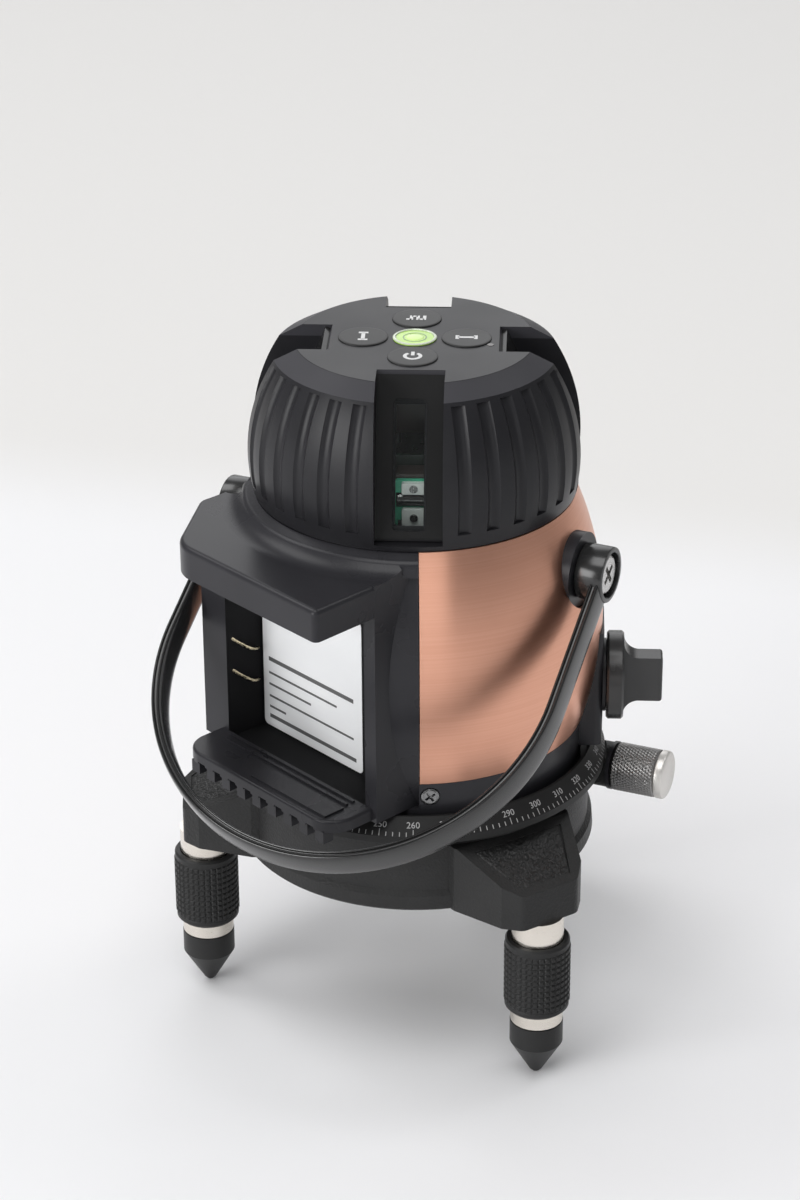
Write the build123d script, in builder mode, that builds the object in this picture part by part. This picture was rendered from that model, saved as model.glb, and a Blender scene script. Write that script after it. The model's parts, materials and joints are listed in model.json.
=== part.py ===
import os
from math import acos, asin, atan2, cos, degrees, hypot, radians, sin

from build123d import *

os.makedirs("parts", exist_ok=True)

# Clearances
RUN = 0.05
SKIN = 0.02
KEY_GAP = 0.3

# Base and tripod thread
BASE_R = 51.0
BASE_WALL_R = 49.5
BASE_TOP = 23.5
BASE_CAVITY_R = 38.0
BASE_FLOOR = 13.0
WELL_FLOOR = 12.0
HUB_R = 15.0
BEARING_R = 11.0
BEARING_TOP = 16.4
INSERT_R = 12.0
INSERT_LENGTH = 11.0
THREAD_WALL_R = 6.83
BEAM_HOLE_R = 5.0
LUG_AZIMUTHS = (80.5, 200.5, 320.5)
LUG_ROOT_R = 39.0
LUG_NECK_R = 48.0
LUG_END_R = 67.5
LUG_ROOT_HALF = 19.5
LUG_CORNER_HALF = 13.3
LUG_END_HALF = 9.0
LUG_TOP = 20.0
LUG_END_TOP = 10.75
LUG_INSET = 0.6

# Dial ring round the turning joint
DIAL_R = 54.2
DIAL_TOP_R = 50.4
DIAL_IN_R = 49.6
DIAL_LIP_R = 46.3
DIAL_EDGE = 25.5
DIAL_TOP = 30.0

# Levelling feet
FOOT_R = 61.5
BARREL_R = 7.3
BARREL_END = -17.0
BARREL_BORE_R = 5.9
BARREL_BORE_TOP = -4.0
NECK_R = 4.8
NECK_LENGTH = 8.0
SLEEVE_R = 9.3
SLEEVE_TOP = -7.5
SLEEVE_END = -30.0
SLEEVE_FLOOR = -26.0
SPIGOT_R = 4.0
SPIGOT_HEAD_R = 5.5
STUD_R = 3.0
STUD_END = -40.0
COLLAR_R = 7.4
COLLAR_END = -34.5
TIP_R = 7.5
TIP_SHOULDER = -41.4
TIP_END = -52.0

# Worm drive for fine turning
WHEEL_TEETH = 40
WHEEL_TIP_R = 16.0
WHEEL_ROOT_R = 14.6
JOURNAL_R = 8.95
SPINDLE_R = 6.0
SPINDLE_BORE_R = 4.0
WORM_AZIMUTH = 115.0
WORM_OFFSET = 20.0
WORM_Z = 18.8
WORM_R = 3.9
WORM_SHAFT_R = 3.0
FINE_KNOB_R = 7.0
FINE_BUSH_R = 4.6
FINE_FLANGE = 52.8
FINE_KNOB_START = 54.0
FINE_KNOB_END = 69.7
FINE_KNOB_CAP = 1.5

# Turret
TABLE_R = 45.5
TABLE_BOTTOM = 25.0
TABLE_TOP = 28.5
RING_TOP = 38.5
RING_IN_R = 43.5
RING_FOOT_R = 47.2
RING_TOP_R = 47.8
RING_SKIRT_R = 45.8
RING_SKIRT_Z = 26.2
RING_SCREW_AZIMUTHS = (52, 180, 308)
RING_SCREW_Z = 34.6
RING_SCREW_SEAT = 46.4
RING_SCREW_R = 2.7
RING_SHANK_R = 1.25
RING_SHANK = 5.4
BODY_TOP = 106.8
BARREL_ARC = ((47.7, RING_TOP), (52.6, 68.0), (44.5, BODY_TOP))
COPPER_WALL = 1.2
HOUSING_WALL = 2.2
BAY_HALF_ANGLE = 48.4
BAY_RIGHT_X = 33.5
BAY_LEFT_X = -39.4
BAY_LEFT_BACK_Y = -35.6
BAY_SILL = 30.6
BAY_FRONT_Y = -45.4
BAY_OPEN_X = 29.0
BAY_BACK_Y = -32.5
BAY_WALL_Y = -30.0
BAY_FLOOR_Z = 32.2
BAY_LINTEL_Z = 93.0
HOOD_Y = -66.5
HOOD_RIGHT_X = 34.2
HOOD_LEFT_X = -23.0
HOOD_TOP = 102.2
COVE_R = 54.0
COLLAR_BEAD_R = 48.4
LEDGE_Y = -60.5
LEDGE_HALF_X = 32.0
LEDGE_TOP = 34.7
LEDGE_BOTTOM = 31.2
LEDGE_RAILS = (-47.0, -49.4)
CONTACT_ZS = (52.0, 62.0)
CONTACT_WIDTH = 1.1
COMB_END = 27.6
COMB_COUNT = 8
COMB_GAP = 3.2
COMB_PITCH = 6.6

# Head
HEAD_BOTTOM = 107.4
HEAD_TOP = 150.0
HEAD_FLAT_R = 32.5
HEAD_ARC = ((44.7, HEAD_BOTTOM), (46.0, HEAD_BOTTOM + 17.6), (38.7, HEAD_TOP - 3.3))
HEAD_WALL = 2.5
HEAD_PLATE = 3.0
FLUTES = 6
FLUTE_STEP = 10.4
FLUTE_R = 2.6
FLUTE_DEPTH = 0.9
FLUTE_LOW = HEAD_BOTTOM + 4.2
FLUTE_HIGH = HEAD_TOP - 4.2
SLOT_AZIMUTHS = (45, 135, 225, 315)
SLOT_WIDTH = 18.2
PANE_TOP_R = 24.6
PANE_FOOT_R = 43.0
PANE_FOOT_Z = HEAD_BOTTOM + 0.6
FRAME_DEPTH = 1.6
GLASS_WIDTH = 8.8
GLASS_DROP = 2.2
KEY_RING_R = 14.0
KEY_R = 5.75
KEY_FLANGE_R = 6.8
KEY_SEAT = HEAD_TOP - HEAD_PLATE - 1.0
KEY_HEIGHT = 4.9
KEY_TRAVEL = 0.8
KEYPAD_R = 22.0
KEYPAD_Z = HEAD_TOP - 10.0
KEYPAD_BOARD = 1.6
MAT_R = 19.9
MAT_WEB = 0.8
POST_RING_R = 17.0
POST_R = 1.9
POST_AZIMUTHS = (0, 90, 180, 270)
LIGHT_AZIMUTH = 123
LIGHT_RING_R = 21.0
LIGHT_R = 0.9
VIAL_R = 6.0
VIAL_FLANGE_R = 6.9
VIAL_DEPTH = 6.0
VIAL_RISE = 0.2

# Handle
PIVOT_Z = 90.5
PIVOT_AZIMUTH = 112.5
BAIL_TILT = 54.7
BAIL_RADIUS = 57.3
BAIL_CENTRE = 44.0
BAIL_THICK = 3.3
BAIL_WIDTH = 9.6
BAIL_GROOVE = 1.1
ARM_U = 56.6
ARM_W = 3.0
EYE_R = 7.8
EYE_START = 50.6
EYE_END = 58.6
EYE_RECESS = 55.8
EYE_RECESS_R = 6.3
PIVOT_PIN_R = 4.0
BOSS_R = 10.5

# Lock
LOCK_AZIMUTH = 135.0
LOCK_Z = 48.5
COLUMN_FACE_R = 53.0
COLUMN_ROOT_R = COLUMN_FACE_R - 9.2
COLUMN_HALF = 10.0
COLUMN_BOTTOM = 31.0
COLUMN_TOP = 66.0
LOCK_SHAFT_R = 3.0
LOCK_DISC_R = 12.6
LOCK_DISC = 4.8
LOCK_GAP = 1.0
LOCK_SOCKET = 4.0
LOCK_GRIP = 11.0
LOCK_GRIP_HALF = 6.75
LOCK_GRIP_THICK = 6.0
LOCK_SHOULDER = 4.0
PLUNGER_R = 3.5

# Pendulum
GIMBAL_Z = 94.5
GIMBAL_PIN_R = 1.5
DECK_BOTTOM = 102.5
DECK_TOP = 105.0
CROWN_BOTTOM = 107.6
CROWN_TOP = 109.6
PLATE_BOTTOM = 46.5
MODULE_R = 29.0
MODULE_Z = CROWN_TOP + 5.9
MODULE_DEEP = 6.0
MODULE_WIDE = 7.6
MODULE_TALL = 13.0
ROD_R = 1.9
MODULE_BARREL_R = 3.2
BOARD_WIDE = 11.0
BOARD_TALL = 16.0
MODULE_POST_TOP = KEYPAD_Z - 14.0


def out(azimuth, r=1.0, z=0.0):
    a = radians(azimuth)
    return Vector(r * sin(a), -r * cos(a), z)


def side_plane(azimuth, r, z):
    # Sketch x runs round the body, y up, and the normal points outward
    a = radians(azimuth)
    return Plane(origin=out(azimuth, r, z), x_dir=(cos(a), sin(a), 0), z_dir=(sin(a), -cos(a), 0))


def meridian(azimuth):
    # Sketch x is the radius and y the height, in the upright plane at this azimuth
    a = radians(azimuth)
    return Plane(origin=(0, 0, 0), x_dir=(sin(a), -cos(a), 0), z_dir=(-cos(a), -sin(a), 0))


def outline(plane, *points):
    with BuildSketch(plane) as sketch:
        with BuildLine():
            Polyline(*points, close=True)
        make_face()
    return sketch.sketch


def section(*points):
    return outline(Plane.XZ, *points)


def disc(plane, r, hole=0.0):
    with BuildSketch(plane) as sketch:
        Circle(r)
        if hole > 0:
            Circle(hole, mode=Mode.SUBTRACT)
    return sketch.sketch


def arc_centre(points):
    (ax, ay), (bx, by), (cx, cy) = points
    d = 2 * (ax * (by - cy) + bx * (cy - ay) + cx * (ay - by))
    a2 = ax * ax + ay * ay
    b2 = bx * bx + by * by
    c2 = cx * cx + cy * cy
    x = (a2 * (by - cy) + b2 * (cy - ay) + c2 * (ay - by)) / d
    y = (a2 * (cx - bx) + b2 * (ax - cx) + c2 * (bx - ax)) / d
    return x, y, hypot(ax - x, ay - y)


def arc_radius_at(points, z, inset=0.0):
    x, y, r = arc_centre(points)
    return x + ((r - inset) ** 2 - (z - y) ** 2) ** 0.5


def arc_triplet(points, low, high, inset=0.0):
    middle = (low + high) / 2
    return tuple((arc_radius_at(points, z, inset), z) for z in (low, middle, high))


def shell_section(plane, points, low, high, wall, inset=0.0):
    outer = arc_triplet(points, low, high, inset)
    inner = arc_triplet(points, low, high, inset + wall)
    with BuildSketch(plane) as sketch:
        with BuildLine():
            ThreePointArc(*outer)
            Line(outer[2], inner[2])
            ThreePointArc(*reversed(inner))
            Line(inner[0], outer[0])
        make_face()
    return sketch.sketch


def lug(azimuth):
    with BuildPart() as piece:
        plan = Plane(origin=(0, 0, 0), x_dir=out(azimuth), z_dir=(0, 0, 1))
        corner_r = LUG_END_R - 4.5
        lug_plan = outline(
            plan,
            (LUG_ROOT_R, -LUG_ROOT_HALF),
            (LUG_NECK_R, -LUG_ROOT_HALF + 0.5),
            (corner_r, -LUG_CORNER_HALF),
            (LUG_END_R, -LUG_END_HALF),
            (LUG_END_R, LUG_END_HALF),
            (corner_r, LUG_CORNER_HALF),
            (LUG_NECK_R, LUG_ROOT_HALF - 0.5),
            (LUG_ROOT_R, LUG_ROOT_HALF),
        )
        extrude(lug_plan, amount=LUG_TOP)
        crest_r = LUG_NECK_R + 1
        lug_side = outline(
            meridian(azimuth),
            (crest_r, LUG_TOP),
            (LUG_END_R + 1, LUG_TOP),
            (LUG_END_R + 1, LUG_END_TOP),
            (LUG_END_R, LUG_END_TOP),
        )
        extrude(lug_side, amount=LUG_ROOT_HALF + 1, both=True, mode=Mode.SUBTRACT)
        end_edges = piece.edges().filter_by(Axis.Z).sort_by_distance(out(azimuth, LUG_END_R + 8, 5))
        fillet(end_edges[0:2], radius=3)
        slope = atan2(LUG_TOP - LUG_END_TOP, LUG_END_R - crest_r)
        inset = Plane(
            origin=out(azimuth, (crest_r + LUG_END_R) / 2, (LUG_TOP + LUG_END_TOP) / 2),
            x_dir=out(azimuth, cos(slope), -sin(slope)),
            z_dir=out(azimuth, sin(slope), cos(slope)),
        )
        inset_half = (LUG_END_R - crest_r) / 2 - 1.6
        rough = outline(
            inset,
            (-inset_half, -LUG_ROOT_HALF + 5),
            (inset_half, -LUG_END_HALF + 0.8),
            (inset_half, LUG_END_HALF - 0.8),
            (-inset_half, LUG_ROOT_HALF - 5),
        )
        extrude(rough, amount=-LUG_INSET, mode=Mode.SUBTRACT)
    return piece.part


# Worm axis: it runs past the wheel at a fixed offset
WORM_DIR = out(WORM_AZIMUTH)
WORM_FOOT = Vector(-WORM_DIR.Y, WORM_DIR.X, 0) * WORM_OFFSET + Vector(0, 0, WORM_Z)


def worm_plane(s):
    return Plane(origin=WORM_FOOT + WORM_DIR * s, x_dir=(-WORM_DIR.Y, WORM_DIR.X, 0), z_dir=WORM_DIR)


with BuildPart() as fine_boss:
    extrude(disc(worm_plane(38), 6.6), amount=FINE_FLANGE - 38)
    revolve(section((30, 23.3), (54.6, 23.3), (54.6, 40), (30, 40)), axis=Axis.Z, mode=Mode.SUBTRACT)

with BuildPart() as tribrach_base:
    revolve(
        section(
            (0, 0),
            (BASE_R - 0.8, 0),
            (BASE_R, 0.8),
            (BASE_R - 0.3, 4.5),
            (BASE_WALL_R, 6),
            (BASE_WALL_R, BASE_TOP),
            (BASE_CAVITY_R, BASE_TOP),
            (BASE_CAVITY_R, BASE_FLOOR),
            (HUB_R, BASE_FLOOR),
            (HUB_R, BEARING_TOP),
            (BEARING_R, BEARING_TOP),
            (BEARING_R, WELL_FLOOR),
            (0, WELL_FLOOR),
        ),
        axis=Axis.Z,
    )
    for azimuth in LUG_AZIMUTHS:
        add(lug(azimuth))
    add(fine_boss.part)
    extrude(disc(Plane.XY, INSERT_R), amount=INSERT_LENGTH, mode=Mode.SUBTRACT)
    extrude(disc(Plane.XY, BEAM_HOLE_R), amount=13, mode=Mode.SUBTRACT)
    extrude(disc(worm_plane(30), FINE_BUSH_R), amount=26, mode=Mode.SUBTRACT)
    for azimuth in LUG_AZIMUTHS:
        seat = Plane(origin=out(azimuth, FOOT_R, 0))
        extrude(disc(seat, NECK_R), amount=NECK_LENGTH, mode=Mode.SUBTRACT)
tribrach_base.part.label = "tribrach_base"
export_step(tribrach_base.part, "parts/tribrach_base.step")

with BuildPart() as tripod_insert:
    extrude(disc(Plane.XY, INSERT_R, THREAD_WALL_R), amount=INSERT_LENGTH)
tripod_insert.part.label = "tripod_insert"
export_step(tripod_insert.part, "parts/tripod_insert.step")

with BuildPart() as dial_ring:
    revolve(
        section(
            (DIAL_LIP_R, BASE_TOP),
            (DIAL_R, BASE_TOP),
            (DIAL_R, DIAL_EDGE),
            (DIAL_TOP_R, DIAL_TOP),
            (DIAL_IN_R, DIAL_TOP),
            (DIAL_IN_R, DIAL_EDGE),
            (DIAL_LIP_R, DIAL_EDGE),
        ),
        axis=Axis.Z,
    )
dial_ring.part.label = "dial_ring"
export_step(dial_ring.part, "parts/dial_ring.step")

with BuildPart() as foot_barrels:
    for azimuth in LUG_AZIMUTHS:
        seat = Plane(origin=out(azimuth, FOOT_R, 0))
        barrel_foot = seat.offset(BARREL_END)
        extrude(disc(barrel_foot, BARREL_R), amount=-BARREL_END)
        extrude(disc(seat, NECK_R), amount=NECK_LENGTH)
        extrude(disc(barrel_foot, BARREL_BORE_R), amount=BARREL_BORE_TOP - BARREL_END, mode=Mode.SUBTRACT)
foot_barrels.part.label = "foot_barrels"
export_step(foot_barrels.part, "parts/foot_barrels.step")

with BuildPart() as slide_ring:
    revolve(section((40, BASE_TOP), (45, BASE_TOP), (45, TABLE_BOTTOM), (40, TABLE_BOTTOM)), axis=Axis.Z)
slide_ring.part.label = "slide_ring"
export_step(slide_ring.part, "parts/slide_ring.step")

with BuildPart() as base_bearing:
    revolve(
        section(
            (JOURNAL_R + RUN, WELL_FLOOR),
            (BEARING_R, WELL_FLOOR),
            (BEARING_R, BEARING_TOP),
            (JOURNAL_R + RUN, BEARING_TOP),
        ),
        axis=Axis.Z,
    )
base_bearing.part.label = "base_bearing"
export_step(base_bearing.part, "parts/base_bearing.step")

with BuildPart() as fine_bush:
    extrude(disc(worm_plane(36), FINE_BUSH_R, WORM_SHAFT_R + RUN), amount=FINE_FLANGE - 36)
    extrude(disc(worm_plane(FINE_FLANGE), 7, WORM_SHAFT_R + RUN), amount=1)
fine_bush.part.label = "fine_bush"
export_step(fine_bush.part, "parts/fine_bush.step")

with BuildPart() as drive_wheel:
    revolve(
        section(
            (SPINDLE_R + RUN, WELL_FLOOR + 0.2),
            (JOURNAL_R, WELL_FLOOR + 0.2),
            (JOURNAL_R, BEARING_TOP + 0.1),
            (WHEEL_TIP_R, BEARING_TOP + 0.1),
            (WHEEL_TIP_R, BASE_TOP),
            (SPINDLE_R + RUN, BASE_TOP),
        ),
        axis=Axis.Z,
    )
    with BuildSketch(Plane.XY.offset(BEARING_TOP)):
        with PolarLocations((WHEEL_ROOT_R + WHEEL_TIP_R) / 2 + 0.2, WHEEL_TEETH):
            Rectangle(WHEEL_TIP_R - WHEEL_ROOT_R + 0.4, 1.1)
    extrude(amount=BASE_TOP - BEARING_TOP, mode=Mode.SUBTRACT)
drive_wheel.part.label = "drive_wheel"
export_step(drive_wheel.part, "parts/drive_wheel.step")

with BuildPart() as clutch_washer:
    revolve(
        section((7, BASE_TOP), (11.5, BASE_TOP), (11.5, TABLE_BOTTOM), (7, TABLE_BOTTOM)),
        axis=Axis.Z,
    )
clutch_washer.part.label = "clutch_washer"
export_step(clutch_washer.part, "parts/clutch_washer.step")

with BuildPart() as worm_shaft:
    extrude(disc(worm_plane(-12), WORM_SHAFT_R), amount=FINE_KNOB_END - FINE_KNOB_CAP + 12)
    extrude(disc(worm_plane(-8), WORM_R), amount=16)
worm_shaft.part.label = "worm_shaft"
export_step(worm_shaft.part, "parts/worm_shaft.step")

with BuildPart() as fine_knob:
    extrude(disc(worm_plane(FINE_KNOB_START), FINE_KNOB_R), amount=FINE_KNOB_END - FINE_KNOB_START)
    chamfer(fine_knob.edges().filter_by(GeomType.CIRCLE), length=0.8)
    knob_bore = disc(worm_plane(FINE_KNOB_START), WORM_SHAFT_R + SKIN)
    extrude(knob_bore, amount=FINE_KNOB_END - FINE_KNOB_CAP - FINE_KNOB_START, mode=Mode.SUBTRACT)
fine_knob.part.label = "fine_knob"
export_step(fine_knob.part, "parts/fine_knob.step")

for i, azimuth in enumerate(LUG_AZIMUTHS, 1):
    upright = Plane(origin=out(azimuth, FOOT_R), x_dir=(1, 0, 0), z_dir=(0, -1, 0))
    turning = Axis(out(azimuth, FOOT_R), (0, 0, 1))
    with BuildPart() as foot_stem:
        stem_half = outline(
            upright,
            (0, STUD_END),
            (STUD_R, STUD_END),
            (STUD_R, COLLAR_END),
            (COLLAR_R - 0.4, COLLAR_END),
            (COLLAR_R, COLLAR_END + 0.4),
            (COLLAR_R, SLEEVE_END - 0.5),
            (COLLAR_R - 0.4, SLEEVE_END - 0.1),
            (SPIGOT_R, SLEEVE_END - 0.1),
            (SPIGOT_R, SLEEVE_FLOOR + 0.1),
            (SPIGOT_HEAD_R, SLEEVE_FLOOR + 0.1),
            (SPIGOT_HEAD_R, SLEEVE_FLOOR + 1.7),
            (0, SLEEVE_FLOOR + 1.7),
        )
        revolve(stem_half, axis=turning)
    foot_stem.part.label = f"foot_stem_{i}"
    export_step(foot_stem.part, f"parts/foot_stem_{i}.step")

    with BuildPart() as foot_tip:
        tip_half = outline(
            upright,
            (0, TIP_END),
            (1.0, TIP_END),
            (1.8, TIP_END + 0.8),
            (TIP_R, TIP_SHOULDER),
            (TIP_R, COLLAR_END),
            (STUD_R + SKIN, COLLAR_END),
            (STUD_R + SKIN, STUD_END),
            (0, STUD_END),
        )
        revolve(tip_half, axis=turning)
    foot_tip.part.label = f"foot_tip_{i}"
    export_step(foot_tip.part, f"parts/foot_tip_{i}.step")

    with BuildPart() as foot_sleeve:
        sleeve_half = outline(
            upright,
            (SPIGOT_R + RUN, SLEEVE_END),
            (SLEEVE_R - 0.8, SLEEVE_END),
            (SLEEVE_R, SLEEVE_END + 0.8),
            (SLEEVE_R, SLEEVE_TOP - 0.8),
            (SLEEVE_R - 0.8, SLEEVE_TOP),
            (BARREL_R + RUN, SLEEVE_TOP),
            (BARREL_R + RUN, SLEEVE_FLOOR),
            (SPIGOT_R + RUN, SLEEVE_FLOOR),
        )
        revolve(sleeve_half, axis=turning)
    foot_sleeve.part.label = f"foot_sleeve_{i}"
    export_step(foot_sleeve.part, f"parts/foot_sleeve_{i}.step")

with BuildPart() as turntable:
    revolve(
        section(
            (SPINDLE_BORE_R, 13.5),
            (SPINDLE_R, 13.5),
            (SPINDLE_R, TABLE_BOTTOM),
            (TABLE_R, TABLE_BOTTOM),
            (TABLE_R, TABLE_TOP),
            (SPINDLE_BORE_R, TABLE_TOP),
        ),
        axis=Axis.Z,
    )
turntable.part.label = "turntable"
export_step(turntable.part, "parts/turntable.step")

with BuildPart() as lower_ring:
    revolve(
        section(
            (RING_IN_R, TABLE_TOP),
            (RING_SKIRT_R, TABLE_TOP),
            (RING_SKIRT_R, RING_SKIRT_Z),
            (RING_FOOT_R, RING_SKIRT_Z),
            (RING_FOOT_R, TABLE_TOP),
            (RING_TOP_R, RING_TOP),
            (RING_IN_R, RING_TOP),
        ),
        axis=Axis.Z,
    )
    bay_gap = outline(meridian(-BAY_HALF_ANGLE), (40, BAY_SILL), (50, BAY_SILL), (50, 40), (40, 40))
    revolve(
        bay_gap,
        axis=Axis.Z,
        revolution_arc=2 * BAY_HALF_ANGLE,
        mode=Mode.SUBTRACT,
    )
    with BuildSketch(side_plane(LOCK_AZIMUTH, 40, 36)):
        Rectangle(2 * COLUMN_HALF + 2 * SKIN, 10)
    extrude(amount=12, mode=Mode.SUBTRACT)
    for azimuth in RING_SCREW_AZIMUTHS:
        screw_seat = side_plane(azimuth, RING_SCREW_SEAT, RING_SCREW_Z)
        extrude(disc(screw_seat, RING_SCREW_R + RUN), amount=3, mode=Mode.SUBTRACT)
        extrude(disc(screw_seat, RING_SHANK_R), amount=-RING_SHANK, mode=Mode.SUBTRACT)
lower_ring.part.label = "lower_ring"
export_step(lower_ring.part, "parts/lower_ring.step")

with BuildPart() as ring_screws:
    for azimuth in RING_SCREW_AZIMUTHS:
        screw_seat = side_plane(azimuth, RING_SCREW_SEAT, RING_SCREW_Z)
        extrude(disc(screw_seat, RING_SCREW_R), amount=1.6)
        extrude(disc(screw_seat, RING_SHANK_R), amount=-RING_SHANK)
ring_screws.part.label = "ring_screws"
export_step(ring_screws.part, "parts/ring_screws.step")

with BuildPart() as copper_sleeve:
    copper_start = meridian(BAY_HALF_ANGLE + 0.2)
    revolve(
        shell_section(copper_start, BARREL_ARC, RING_TOP, BODY_TOP, COPPER_WALL),
        axis=Axis.Z,
        revolution_arc=360 - 2 * BAY_HALF_ANGLE - 0.4,
    )
    with BuildSketch(side_plane(LOCK_AZIMUTH, 40, COLUMN_BOTTOM)):
        Rectangle(2 * COLUMN_HALF + 2 * SKIN, 2 * (COLUMN_TOP - COLUMN_BOTTOM) + 2 * SKIN)
    extrude(amount=20, mode=Mode.SUBTRACT)
    for azimuth in (PIVOT_AZIMUTH, PIVOT_AZIMUTH + 180):
        extrude(disc(side_plane(azimuth, 40, PIVOT_Z), BOSS_R + SKIN), amount=20, mode=Mode.SUBTRACT)
copper_sleeve.part.label = "copper_sleeve"
export_step(copper_sleeve.part, "parts/copper_sleeve.step")

with BuildPart() as lock_column:
    column_plan = outline(
        Plane(origin=(0, 0, COLUMN_BOTTOM), x_dir=out(LOCK_AZIMUTH), z_dir=(0, 0, 1)),
        (COLUMN_ROOT_R, -COLUMN_HALF),
        (COLUMN_FACE_R, -COLUMN_HALF),
        (COLUMN_FACE_R, COLUMN_HALF),
        (COLUMN_ROOT_R, COLUMN_HALF),
    )
    extrude(column_plan, amount=COLUMN_TOP - COLUMN_BOTTOM)
    ahead = out(LOCK_AZIMUTH, COLUMN_FACE_R + 15, LOCK_Z)
    fillet(lock_column.edges().filter_by(Axis.Z).sort_by_distance(ahead)[0:2], radius=2.2)
    extrude(disc(side_plane(LOCK_AZIMUTH, 40, LOCK_Z), LOCK_SHAFT_R + RUN), amount=20, mode=Mode.SUBTRACT)
lock_column.part.label = "lock_column"
export_step(lock_column.part, "parts/lock_column.step")

# Battery bay housing
HOUSING_START = meridian(-BAY_HALF_ANGLE)
HOOD_PLAN = (
    (BAY_LEFT_X, BAY_LEFT_BACK_Y),
    (BAY_LEFT_X, BAY_FRONT_Y),
    (HOOD_LEFT_X, HOOD_Y),
    (HOOD_RIGHT_X, HOOD_Y),
    (BAY_RIGHT_X, BAY_FRONT_Y),
    (BAY_RIGHT_X, BAY_LEFT_BACK_Y),
)

with BuildPart() as hood:
    extrude(outline(Plane.XY.offset(BAY_LINTEL_Z), *HOOD_PLAN), amount=HOOD_TOP - BAY_LINTEL_Z)
    front_edges = hood.edges().filter_by(Axis.Z).group_by(Axis.Y)[0].sort_by(Axis.X)
    fillet(front_edges[0], radius=12)
    fillet(front_edges[-1], radius=1.6)
    hood_rim = hood.edges().group_by(Axis.Z)[-1].filter_by_position(Axis.Y, -80, BAY_FRONT_Y - 0.5)
    fillet(hood_rim, radius=1.5)

with BuildPart() as cove:
    with BuildSketch(HOUSING_START):
        with BuildLine():
            cove_top = (COLLAR_BEAD_R - 0.4, BODY_TOP - 2)
            ThreePointArc((COVE_R, HOOD_TOP), (COVE_R - 3.7, HOOD_TOP + 0.85), cove_top)
            Polyline(
                cove_top,
                (COLLAR_BEAD_R - 3, BODY_TOP - 2),
                (COLLAR_BEAD_R - 3, HOOD_TOP - 1),
                (COVE_R, HOOD_TOP - 1),
                (COVE_R, HOOD_TOP),
            )
        make_face()
    revolve(axis=Axis.Z, revolution_arc=2 * BAY_HALF_ANGLE)
    extrude(outline(Plane.XY.offset(HOOD_TOP - 2), *HOOD_PLAN), amount=10, mode=Mode.INTERSECT)

with BuildPart() as ledge:
    with BuildSketch(Plane.XY.offset(LEDGE_BOTTOM)):
        with Locations((0, (LEDGE_Y + BAY_FRONT_Y) / 2 + 1)):
            Rectangle(2 * LEDGE_HALF_X, BAY_FRONT_Y - LEDGE_Y + 2)
    extrude(amount=LEDGE_TOP - LEDGE_BOTTOM)
    fillet(ledge.edges().filter_by(Axis.Z).group_by(Axis.Y)[0], radius=8)
    ledge_rim = ledge.edges().group_by(Axis.Z)[-1].filter_by_position(Axis.Y, -80, BAY_FRONT_Y - 0.5)
    fillet(ledge_rim, radius=0.8)
    comb_length = COMB_COUNT * COMB_PITCH + COMB_PITCH - COMB_GAP
    with Locations((0, LEDGE_Y + 2.4, (LEDGE_BOTTOM + COMB_END) / 2)):
        Box(comb_length, 3.6, LEDGE_BOTTOM - COMB_END)
    with Locations((0, LEDGE_Y, (COMB_END + LEDGE_BOTTOM) / 2)):
        with GridLocations(COMB_PITCH, 1, COMB_COUNT, 1):
            Box(COMB_GAP, 8.6, LEDGE_BOTTOM - COMB_END + 1.2, mode=Mode.SUBTRACT)
    for rail_y in LEDGE_RAILS:
        with Locations((0, rail_y, LEDGE_TOP)):
            Box(52, 0.8, 1.2)
    plate = outline(
        Plane.XY.offset(LEDGE_TOP - 0.5),
        (-4, LEDGE_Y + 2.2),
        (27, LEDGE_Y + 2.2),
        (27, LEDGE_Y + 9),
        (-1, LEDGE_Y + 9),
        (-4, LEDGE_Y + 6),
    )
    extrude(plate, amount=1.1)

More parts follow.
